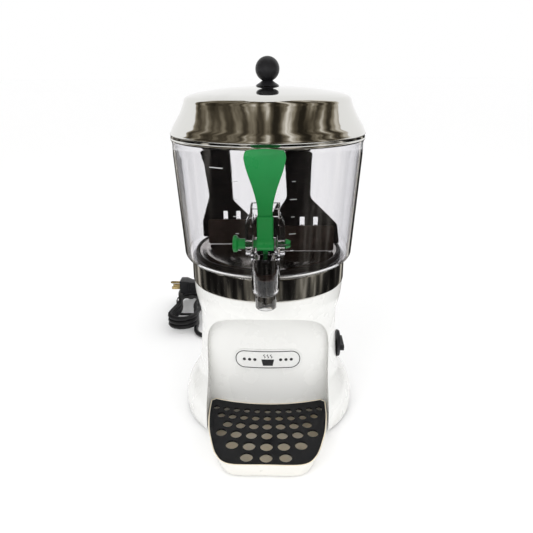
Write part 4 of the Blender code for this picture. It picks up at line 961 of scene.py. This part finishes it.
def badge():
    """Plate on the bay's back wall with a plain steaming-cup pictogram."""
    centre = (0, BAY_BOW_R - BAY_FRONT, 0)

    def curved(blank, inner, thick):
        outside = moved(cylinder(BAY_BOW_R + inner + thick, 0, 0.2, 360), centre)
        inside = moved(cylinder(BAY_BOW_R + inner, -0.1, 0.3, 360), centre)
        return cut(boolean("INTERSECT", blank, outside), inside)

    low_z, high_z = low("badge").z, high("badge").z
    mid_z, half_z, half_x = (low_z + high_z) / 2, (high_z - low_z) / 2, high("badge").x
    plate = curved(front_prism(box_outline(half_x, half_z, half_z - 0.0005, (0, mid_z), 16), -0.070,
                               -0.045), GAP, 0.0008)
    piece("badge_plate", plate, LOOKS["badge"], "stand", ("badge",), edge=0.0002)
    ring = front_prism(box_outline(half_x - 0.0022, half_z - 0.0022, half_z - 0.0027, (0, mid_z), 16),
                       -0.07, -0.045)
    hole = front_prism(box_outline(half_x - 0.0034, half_z - 0.0034, half_z - 0.0039, (0, mid_z), 16),
                       -0.08, -0.04)
    marks = [cut(ring, hole)]
    cup = [(-0.0085, 0.0), (-0.0064, -0.0095), (0.0064, -0.0095), (0.0085, 0.0)]
    marks.append(front_prism([(x, mid_z + 0.0005 + z) for x, z in reversed(cup)][::-1], -0.07, -0.045))
    for x in (-0.0045, 0.0, 0.0045):
        wave = flowing([(x, mid_z + 0.0025), (x + 0.0011, mid_z + 0.0042), (x - 0.0009, mid_z + 0.0062),
                        (x + 0.0002, mid_z + 0.0080)], 5)
        ribbon = [(x + 0.0006, z) for x, z in wave] + [(x - 0.0006, z) for x, z in reversed(wave)]
        marks.append(front_prism(ribbon, -0.07, -0.045))
    for side in (-1, 1):
        for step in range(3):
            x = side * (0.017 + step * 0.0070)
            marks.append(front_prism(box_outline(0.0021, 0.0021, 0.0020, (x, mid_z)), -0.07, -0.045))
    for number, mark in enumerate(marks, 1):
        piece(f"badge_mark_{number}", curved(mark, GAP + 0.0008, 0.0001), LOOKS["ink"], "stand")


def tray_outline():
    """Plan of the tray's rim, counter-clockwise, mirror-symmetric about X = 0."""
    side = flowing([(0.0, -TRAY_REACH), (0.0370, -TRAY_REACH), (0.0520, -0.1686), (0.0600, -0.1580),
                    (0.0645, -0.1480),
                    (0.0692, -0.1320), (0.0747, -0.1090), (0.0782, -0.0780), (0.0788, -0.0485)], 6)[1:]
    front, bow = BAY_FRONT + 0.0012, BAY_BOW_R + 0.0012
    back = []
    for step in range(1, 24):
        x = 0.0788 * (1 - step / 12)
        back.append((x, -front + bow - math.sqrt(bow**2 - x**2)))
    return side + back + [(-x, y) for x, y in reversed(side)]


GRILLE_ROWS = ((0.0724, 11, 0.0139, 0.00425), (0.0871, 9, 0.0154, 0.00520), (0.1038, 7, 0.0171, 0.00620),
               (0.1218, 7, 0.0193, 0.00690), (0.1420, 5, 0.0211, 0.00760), (0.1615, 3, 0.0231, 0.00760))
GRILLE_BOW_R = 0.300


def drip_tray():
    """Basin that slides out and the perforated plate that drops into it."""
    rim = tray_outline()
    foot = [(x * 0.90, -0.0560 + (y + 0.0560) * 0.93) for x, y in rim]
    basin = loft(foot, 0.0010, rim, TRAY_RIM)
    ledge = prism(offset(rim, 0.0016, True), TRAY_RIM - 0.0028, 0.04)
    hollow = loft(offset(foot, 0.0028, True), 0.0032, offset(rim, 0.0042, True), TRAY_RIM)
    piece("tray_basin", cut(basin, ledge, hollow), LOOKS["tray"], "tray", ("drip_tray",), edge=0.0005)
    plate = prism(offset(rim, 0.0016 + GAP, True), TRAY_RIM - 0.0025, TRAY_RIM - 0.0002)
    holes = []
    for reach, count, pitch, radius in GRILLE_ROWS:
        for index in range(count):
            turn = (index - (count - 1) / 2) * pitch / GRILLE_BOW_R
            spot = (GRILLE_BOW_R * math.sin(turn), -reach + GRILLE_BOW_R * (1 - math.cos(turn)), 0)
            holes.append(moved(cylinder(radius, 0.01, 0.04, 40), spot))
    piece("grille_plate", cut(plate, group(holes)), LOOKS["grille"], "grille", ("drip_grille",), edge=0.0004)


def heated_base():
    """Steel collar, heated pan and bowl gasket."""
    bottom = COLLAR_LOW
    face = [(0.0974, COLLAR_TOP), *flowing([(0.0986, COLLAR_TOP - 0.0001), (0.0995, COLLAR_TOP - 0.0012),
                                            (COLLAR_R, COLLAR_TOP - 0.0030)], 5),
            (COLLAR_R, bottom + 0.0035), (COLLAR_R - 0.0001, bottom + 0.0015), (0.0993, bottom)]
    back = offset(face, -0.0009)
    piece("collar_band", revolve(face + back[::-1], 192), LOOKS["collar"], "stand", ("steel_collar",),
          edge=0.0002)
    pan = [(0.0105, FLOOR_Z - 0.0012), (0.0105, FLOOR_Z), (0.030, FLOOR_Z), (0.0306, FLOOR_Z - 0.0004),
           (0.0318, FLOOR_Z - 0.0004), (0.0324, FLOOR_Z), (PAN_R - 0.0105, FLOOR_Z),
           (PAN_R - 0.0098, FLOOR_Z - 0.0004),
           (PAN_R - 0.0080, FLOOR_Z - 0.0004), (PAN_R - 0.0072, FLOOR_Z), (PAN_R - 0.001, FLOOR_Z),
           (PAN_R, FLOOR_Z - 0.001), (PAN_R, bottom + 0.0012), (0.0970, bottom + 0.0012), (0.0970, bottom),
           (PAN_R - 0.0012, bottom), (PAN_R - 0.0012, FLOOR_Z - 0.0016)]
    piece("pan_pressing", revolve(pan, 160), LOOKS["pan"], "stand", ("heating_pan",), edge=0.0001)
    gasket_low = low("bowl_gasket").z
    ring = rounded([(PAN_R + GAP, gasket_low, 0), (BOWL_OPENING_R - GAP, gasket_low, 0),
                    (BOWL_OPENING_R - GAP, FLOOR_Z + 0.0016, 0.0012),
                    (PAN_R + GAP, FLOOR_Z + 0.0016, 0.0012)], 5)
    piece("gasket_ring", revolve(ring, 160), LOOKS["silicone"], "stand", ("bowl_gasket",))


body_shell()
badge()
drip_tray()
heated_base()


# Paddle -------------------------------------------------------------------------------------------
def blade(corners, y, half=0.0020):
    """Upright blade in a plane parallel to XZ, with softened edges."""
    return softened(front_prism(rounded(corners, 8), y - half, y + half), 0.0009, 3, 50)


def paddle():
    """Two-armed stirring paddle on its hub, and the scraper clipped to each arm."""
    foot, top = PADDLE_LOW + GAP, PADDLE_TOP
    left_y, right_y = 0.0140, -0.0140
    left = blade([(0.0010, foot, 0), (0.0010, 0.2610, 0.003), (-0.0200, 0.2640, 0.004),
                  (-0.0460, 0.2900, 0.010),
                  (-0.0480, top, 0.004), (-0.0860, top, 0.004), (-0.0770, 0.2960, 0.020),
                  (-0.0875, 0.2620, 0.008), (-0.0875, foot, 0.002)], left_y)
    right = blade([(-0.0010, foot, 0), (0.0913, foot, 0.002), (0.0880, 0.2660, 0.008),
                   (0.0780, 0.2760, 0.010),
                   (0.0530, 0.3000, 0.012), (0.0540, top, 0.004), (0.0200, top, 0.004),
                   (0.0240, 0.3000, 0.012), (-0.0010, 0.2620, 0.004)], right_y)
    hub = revolve(rounded([(0, foot - GAP, 0), (0.0142, foot - GAP, 0.001), (0.0142, 0.2700, 0.002),
                           (0, 0.2700, 0)], 5), 72)
    windows = []
    for centre, y in ((-0.0480, left_y), (0.0520, right_y)):
        for side in (-1, 1):
            gap = box_outline(0.0030, 0.0070, 0.0012, (centre + side * 0.0085, 0.2690))
            windows.append(front_prism(gap, y - 0.01, y + 0.01))
    shaft_top = high("drive_shaft").z
    socket = cut(cylinder(0.0040 + GAP, 0.0, shaft_top + GAP),
                 block((-0.01, 0.0030 + GAP, shaft_top - 0.0155), (0.01, 0.01, 0.3)))
    piece("paddle_moulding", cut(join(hub, left, right), group([*windows, socket])), LOOKS["paddle"],
          "agitator", ("paddle",))
    for name, centre, y in (("scraper_left", -0.0480, left_y - 0.0038),
                            ("scraper_right", 0.0520, right_y - 0.0038)):
        outline = box_outline(0.0320, 0.0165, 0.003, (centre, FLOOR_Z + 0.0006 + 0.0165))
        plate = softened(front_prism(outline, y - 0.0015, y + 0.0015), 0.0006, 3, 50)
        hooks = [block((centre + side * 0.0085 - 0.0020, y, 0.2628),
                       (centre + side * 0.0085 + 0.0020, y + 0.0060, 0.2646))
                 for side in (-1, 1)]
        piece(f"{name}_plate", join(plate, group(hooks)), LOOKS["scraper"], "agitator", (name,))


paddle()


# Bowl and tap -------------------------------------------------------------------------------------
def bowl():
    """Clear bowl, open below where it sits over the gasket, with the tap's tube and ears in one piece."""
    bottom = BOWL_LOW
    outline = rounded([(BOWL_OPENING_R, bottom, 0), (0.1078, bottom, 0.009), (0.1160, 0.3560, 0),
                       (0.1160, 0.3690, 0),
                       (BOWL_LIP_R, 0.3705, 0), (BOWL_LIP_R, BOWL_LIP_Z, 0.0008),
                       (0.1136, BOWL_LIP_Z, 0.0008),
                       (0.1130, 0.3560, 0), (0.1050, bottom + 0.0030, 0.006),
                       (BOWL_OPENING_R, bottom + 0.0030, 0)], 8)
    vessel = revolve(outline, 192)
    inside = revolve([(0, 0.20), (0.100, 0.20), (0.1052, 0.236), (0.1132, 0.3560), (0.1132, 0.40),
                      (0, 0.40)], 192)
    tap = moved(revolve([(0, TAP_TIP), (0.0106, TAP_TIP), (0.0112, TAP_TIP + 0.0004),
                         (0.0117, TAP_TIP + 0.0012), (0.0121, 0.2180),
                         (0.0136, 0.2192), (0.0149, 0.2208), (TAP_TUBE_R, 0.2230), (TAP_TUBE_R, TAP_TUBE_TOP),
                         (0, TAP_TUBE_TOP)], 72), (0, TAP_Y, 0))
    ears = side_prism(rounded([(-0.1060, TAP_TUBE_TOP - 0.006, 0), (-0.1060, EAR_TOP, 0),
                               (-0.1300, EAR_TOP, 0.006),
                               (-0.1420, 0.3000, 0.010), (-0.1420, TAP_TUBE_TOP - 0.006, 0.004)], 8),
                      -CHANNEL_OUT, CHANNEL_OUT)
    boss = rounded([(-EAR_HALF, 0.2685, 0.001), (EAR_HALF, 0.2685, 0.001), (EAR_HALF, 0.3010, 0.002),
                    (CHANNEL_OUT + 0.001, 0.3080, 0.001), (-CHANNEL_OUT - 0.001, 0.3080, 0.001),
                    (-EAR_HALF, 0.3010, 0.002)], 4)
    ears = join(softened(ears, 0.0007), softened(front_prism(boss, -0.1410, -0.1150), 0.0006))
    tap = cut(join(tap, ears), inside)
    channel = block((-CHANNEL_HALF, -0.160, TAP_TUBE_TOP), (CHANNEL_HALF, -0.1170, 0.34))
    shoulder = block((-0.03, -0.160, 0.25), (0.03, -0.1385, TAP_TUBE_TOP))
    bridge = block((-CHANNEL_OUT + 0.001, -0.1215, 0.3045), (CHANNEL_OUT - 0.001, -0.1160, 0.3125), 0.001)
    bore = moved(revolve([(0, 0.19), (0.0085, 0.19), (0.0085, TAP_SEAT), (PISTON_R + GAP, TAP_SEAT),
                          (BORE_R, 0.2240),
                          (BORE_R, 0.2800), (0, 0.2800)], 64), (0, TAP_Y, 0))
    port = block((-0.0070, -0.1230, bottom + 0.0037), (0.0070, -0.0950, low("piston_seal").z - 0.0012), 0.001)
    pin_hole = rod_along_x(PIN_R + 0.0001, -0.03, 0.03, PIVOT_Y, PIVOT_Z)
    tap = join(cut(tap, channel, shoulder), bridge)
    piece("clear_bowl", cut(join(vessel, tap), group([join(bore, port), pin_hole])), LOOKS["clear"],
          "bowl", ("bowl",), angle=35)


def wall_radius(z):
    """Outside of the bowl's wall at a height."""
    return 0.1078 + (z - BOWL_LOW) * (0.1160 - 0.1078) / (0.3560 - BOWL_LOW)


def level_marks():
    """Moulded level scales on the bowl: long ticks for full litres, short ones for halves."""
    lean = math.atan2(0.1160 - 0.1078, 0.3560 - BOWL_LOW)
    number = 0
    for azimuth, step, first, last in ((-16.4, 0.0195, 0.262, 0.345), (15.0, 0.0195, 0.262, 0.345)):
        z = first
        while z < last:
            width = 0.0075 if number % 2 == 0 else 0.0040
            number += 1
            tick = softened(block((-width / 2, -0.00015, -0.00032), (width / 2, 0.00015, 0.00032)), 0.0001, 1)
            turn = Matrix.Rotation(math.radians(azimuth), 4,
                                   "Z") @ Matrix.Translation((0, -wall_radius(z) - 0.0001, z))
            piece(f"level_tick_{number}", moved(tick, turn=turn @ Matrix.Rotation(lean, 4, "X")),
                  LOOKS["frost"], "bowl")
            z += step
    upper = softened(block((-0.0085, -0.00015, -0.00050), (0.0085, 0.00015, 0.00050)), 0.0001, 1)
    z = 0.3530
    turn = Matrix.Rotation(math.radians(-27), 4, "Z") @ Matrix.Translation((0, -wall_radius(z) - 0.0001, z))
    piece("level_full_mark", moved(upper, turn=turn @ Matrix.Rotation(lean, 4, "X")), LOOKS["frost"], "bowl")


def tap_lever():
    """Green lever: handle, block, barrel on the pin, and the leg whose toe lifts the piston."""
    right = flowing([(0.0075, 0.3080), (0.0085, 0.3220), (0.0125, 0.3380), (0.0185, 0.3560),
                     (0.0212, 0.3680)], 8)
    crown = flowing([(0.0212, 0.3680), (0.0200, 0.3735), (0.0165, 0.3758), (0.0, 0.3772)], 6)[1:]
    half = right + crown
    outline = half + [(-x, z) for x, z in reversed(half[:-1])]
    handle = softened(front_prism(outline, PIVOT_Y - 0.0030, PIVOT_Y + 0.0030), 0.0016, 4)
    stem = softened(block((-0.0085, PIVOT_Y - 0.0050, 0.2820), (0.0085, PIVOT_Y + 0.0045, 0.3090), 0.0015),
                    0.0008)
    barrel = rod_along_x(0.0075, -0.0087, 0.0087, PIVOT_Y, PIVOT_Z, 64)
    half_leg = 0.0030
    leg = side_prism(box_outline(TOE.length / 2, 0.0015, 0, (TOE.length / 2, 0)), GAP - half_leg,
                     half_leg - GAP)
    leg = moved(leg, (0, PIVOT_Y, PIVOT_Z), Matrix.Rotation(math.atan2(TOE.z, TOE.y), 4, "X"))
    toe = rod_along_x(0.0028, -half_leg, half_leg, PIVOT_Y + TOE.y, PIVOT_Z + TOE.z)
    hole = rod_along_x(PIN_R + 0.0001, -0.02, 0.02, PIVOT_Y, PIVOT_Z)
    piece("lever_handle", cut(join(handle, stem, barrel, leg, toe), hole), LOOKS["green"], "lever",
          ("tap_lever",), edge=0.0003)


def tap_pin():
    """Green pin the lever turns on: button head, shank and a split, barbed end."""
    left, right = low("tap_pin").x, high("tap_pin").x
    body = revolve([(0, left), (0.0066, left), (0.0080, left + 0.0004), (0.0090, left + 0.0014),
                    (0.0090, left + 0.0040),
                    (0.0080, left + 0.0050), (0.0064, left + 0.0060), (0.0056, left + 0.0080),
                    (0.0055, -EAR_HALF - GAP),
                    (PIN_R, -EAR_HALF - GAP), (PIN_R, EAR_HALF + GAP),
                    (0.0054, EAR_HALF + 0.0010), (0.0036, right),
                    (0, right)], 56)
    split = block((-0.02, -0.0012, EAR_HALF - 0.0075), (0.02, 0.0012, 0.04))
    pin = moved(facing_side(cut(body, split)), (0, PIVOT_Y, PIVOT_Z))
    piece("pin_button", pin, LOOKS["green"], "bowl", ("tap_pin",), edge=0.0003)


def tap_piston():
    """Dark plunger with a window for the lever's toe, and the seal on its foot."""
    foot, top = low("tap_piston").z, high("tap_piston").z
    seal_low, seal_high = low("piston_seal").z, high("piston_seal").z
    groove = PISTON_R - 0.0020
    window_low, window_high = PIVOT_Z + TOE.z - 0.0037, PIVOT_Z + TOE.z + 0.0037
    outline = [(0, foot), (PISTON_R - 0.0010, foot), (PISTON_R - 0.0003, foot + 0.0003),
               (PISTON_R, foot + 0.0010),
               (PISTON_R, seal_low - GAP), (groove, seal_low - GAP), (groove, seal_high + GAP),
               (PISTON_R, seal_high + GAP), (PISTON_R, top - 0.001), (PISTON_R - 0.001, top), (0, top)]
    body = moved(revolve(outline, 64), (0, TAP_Y, 0))
    front = block((-0.02, TAP_Y - 0.02, 0.2595), (0.02, TAP_Y - 0.0010, 0.30))
    window = block((-0.0040, TAP_Y - 0.02, window_low), (0.0040, TAP_Y + 0.02, window_high))
    mouth = block((-0.0040, TAP_Y - 0.02, window_low), (0.0040, TAP_Y + 0.0042, 0.30))
    piece("piston_plunger", cut(body, front, window, mouth), LOOKS["piston"], "piston", ("tap_piston",),
          edge=0.0003)
    rim, inner = BORE_R - GAP, groove + GAP
    lips = rounded([(inner, seal_low, 0), (rim, seal_low, 0.0010), (rim, seal_low + 0.0024, 0.0004),
                    (rim - 0.0007, (seal_low + seal_high) / 2, 0.0005), (rim, seal_high - 0.0024, 0.0004),
                    (rim, seal_high, 0.0010), (inner, seal_high, 0)], 4)
    piece("seal_ring", moved(revolve(lips, 72), (0, TAP_Y, 0)), LOOKS["seal"], "piston", ("piston_seal",))


bowl()
level_marks()
tap_lever()
tap_pin()
tap_piston()


# Lid ----------------------------------------------------------------------------------------------
def lid():
    """Pressed steel lid with its turned-down rim, and its ball knob."""
    seat = BOWL_LIP_Z + GAP
    crown = flowing([(0.0026, LID_APEX), (0.0450, LID_APEX - 0.0020), (0.0800, LID_APEX - 0.0064),
                     (0.0940, LID_APEX - 0.0100), (0.0988, 0.4185), (0.1004, 0.4140), (0.1025, 0.4085),
                     (0.1062, 0.4010), (0.1110, 0.3930), (0.1142, 0.3880), (0.1158, 0.3845),
                     (0.1172, seat + 0.0012),
                     (LID_R, seat)], 8)
    skirt = low("lid").z
    bead = flowing([(LID_R, seat), (LID_R + 0.0005, seat - 0.0010), (LID_R - 0.0001, seat - 0.0022),
                    (LID_R - 0.0001, skirt + 0.0026), (LID_R + 0.0005, skirt + 0.0014), (LID_R, skirt)], 6)
    sheet = 0.0010
    inner = [(radius - sheet * 0.7, z - sheet) for radius, z in crown if z > seat + 0.0030]
    inner[0] = (crown[0][0], crown[0][1] - sheet)
    outline = [*crown, *bead[1:], (BOWL_LIP_R + GAP, skirt), (BOWL_LIP_R + GAP, seat), (0.1140, seat),
               *reversed(inner)]
    piece("lid_pressing", revolve(outline, 256), LOOKS["lid"], "lid", ("lid",), angle=25)
    foot, ball = low("lid_knob").z, OVERALL_TOP - KNOB_R
    arc = []
    for step in range(33):
        angle = math.radians(-65 + 155 * step / 32)
        arc.append((KNOB_R * math.cos(angle), ball + KNOB_R * math.sin(angle)))
    arc[-1] = (0, OVERALL_TOP)
    flange = flowing([(0.0140, foot - 0.0001), (0.0118, foot + 0.0016), (0.0090, foot + 0.0034),
                      (0.0070, foot + 0.0050), arc[0]], 6)
    outline = [(0.0024, foot), (0.0110, foot), (0.0137, foot - 0.0005), *flange, *arc[1:], (0, ball),
               (0.0024, ball)]
    piece("knob_ball", revolve(outline, 96), LOOKS["ball"], "lid", ("lid_knob",), angle=50)


lid()


# Controls -----------------------------------------------------------------------------------------
def dial():
    """Temperature dial with a knurled edge, a raised grip and a pointer line."""
    seat = DIAL_SEAT + GAP
    disc = revolve([(0, seat), (DIAL_R - 0.0006, seat), (DIAL_R, seat + 0.0010),
                    (DIAL_R - 0.0008, seat + 0.0036),
                    (DIAL_R - 0.0016, seat + 0.0043), (DIAL_R - 0.0030, seat + 0.0046),
                    (0, seat + 0.0046)], 96)
    reach = DIAL_R - 0.0015
    grip = softened(block((-reach, -0.0042, seat + 0.0035), (reach, 0.0042, seat + 0.0098), 0.004), 0.0010)
    stem = cylinder(0.0030, 0.0830, seat + 0.001)
    slot = block((-DIAL_R, -0.0007, seat + 0.0090), (-0.0060, 0.0007, seat + 0.02))
    flutes = []
    for step in range(36):
        x, y = around(step * 10, DIAL_R + 0.0004)
        flutes.append(moved(cylinder(0.0007, 0.090, 0.098, 10), (x, y, 0)))
    knob = cut(join(disc, grip, stem), slot, group(flutes))
    piece("dial_knob", moved(facing_side(knob), (0, 0, DIAL_Z)), LOOKS["black"], "dial",
          ("thermostat_dial",), edge=0.0002)
    line = block((0.0022 - DIAL_R, -0.0004, seat + 0.0093), (-0.0064, 0.0004, seat + 0.0099))
    piece("dial_line", moved(facing_side(softened(line, 0.0001)), (0, 0, DIAL_Z)), LOOKS["mark"], "dial",
          ("dial_pointer",))


def rear_switch():
    """Rocker of the power switch and the lens of the heating lamp."""
    centre = middle("power_switch")
    origin = (centre.x, REAR_PAD - 0.0005, centre.z)
    wedge = rounded([(-0.0040, -0.0040, 0.002), (0.0012, -0.0076, 0.0005), (0.0030, -0.0076, 0.0006),
                     (0.0018, 0, 0.004),
                     (0.0030, 0.0076, 0.0006), (0.0012, 0.0076, 0.0005), (-0.0040, 0.0040, 0.002)], 5)
    rocker = moved(side_prism(wedge, -0.0049, 0.0049), turn=Matrix.Rotation(math.radians(-9), 4, "X"))
    piece("rocker_cap", moved(rocker, origin), LOOKS["black"], "rocker", ("power_rocker",), edge=0.0002)
    lamp = middle("heating_lamp")
    lens = revolve([(0, -0.014), (0.0047, -0.014), (0.0047, GAP), (0.0066, GAP), (0.0066, 0.0012),
                    (0.0062, 0.0018),
                    *flowing([(0.0052, 0.0024), (0.0040, 0.0035), (0.0022, 0.0043), (0, 0.0046)], 5)], 56)
    lens = moved(moved(lens, turn=Matrix.Rotation(-math.pi / 2, 4, "X")), (lamp.x, REAR_PAD, centre.z))
    piece("lamp_lens", lens, LOOKS["lamp"], "stand", ("heating_lamp",))


dial()
rear_switch()


# CAD pieces that stay ------------------------------------------------------------------------------
def dress_the_rest():
    """Give every CAD piece that is still shown the look of its material slot."""
    by_slot = {"plain_steel": "plated", "cast_housing": "cast", "motor_steel": "can", "brass": "brass",
               "dark_rubber": "rubber", "black_plastic": "black", "tray_white": "tray", "polished_steel": "collar",
               "brown_silicone": "silicone"}
    slots = {entry["node"]: entry["material_slot"] for entry in frame["record"]["subparts"]}
    for name, node in frame["nodes"].items():
        if node.hide_render:
            continue
        look = LOOKS[by_slot[slots[name]]]
        if not node.material_slots:
            node.data.materials.append(look)
        for material_slot in node.material_slots:
            material_slot.material = look


dress_the_rest()
light_the_set()
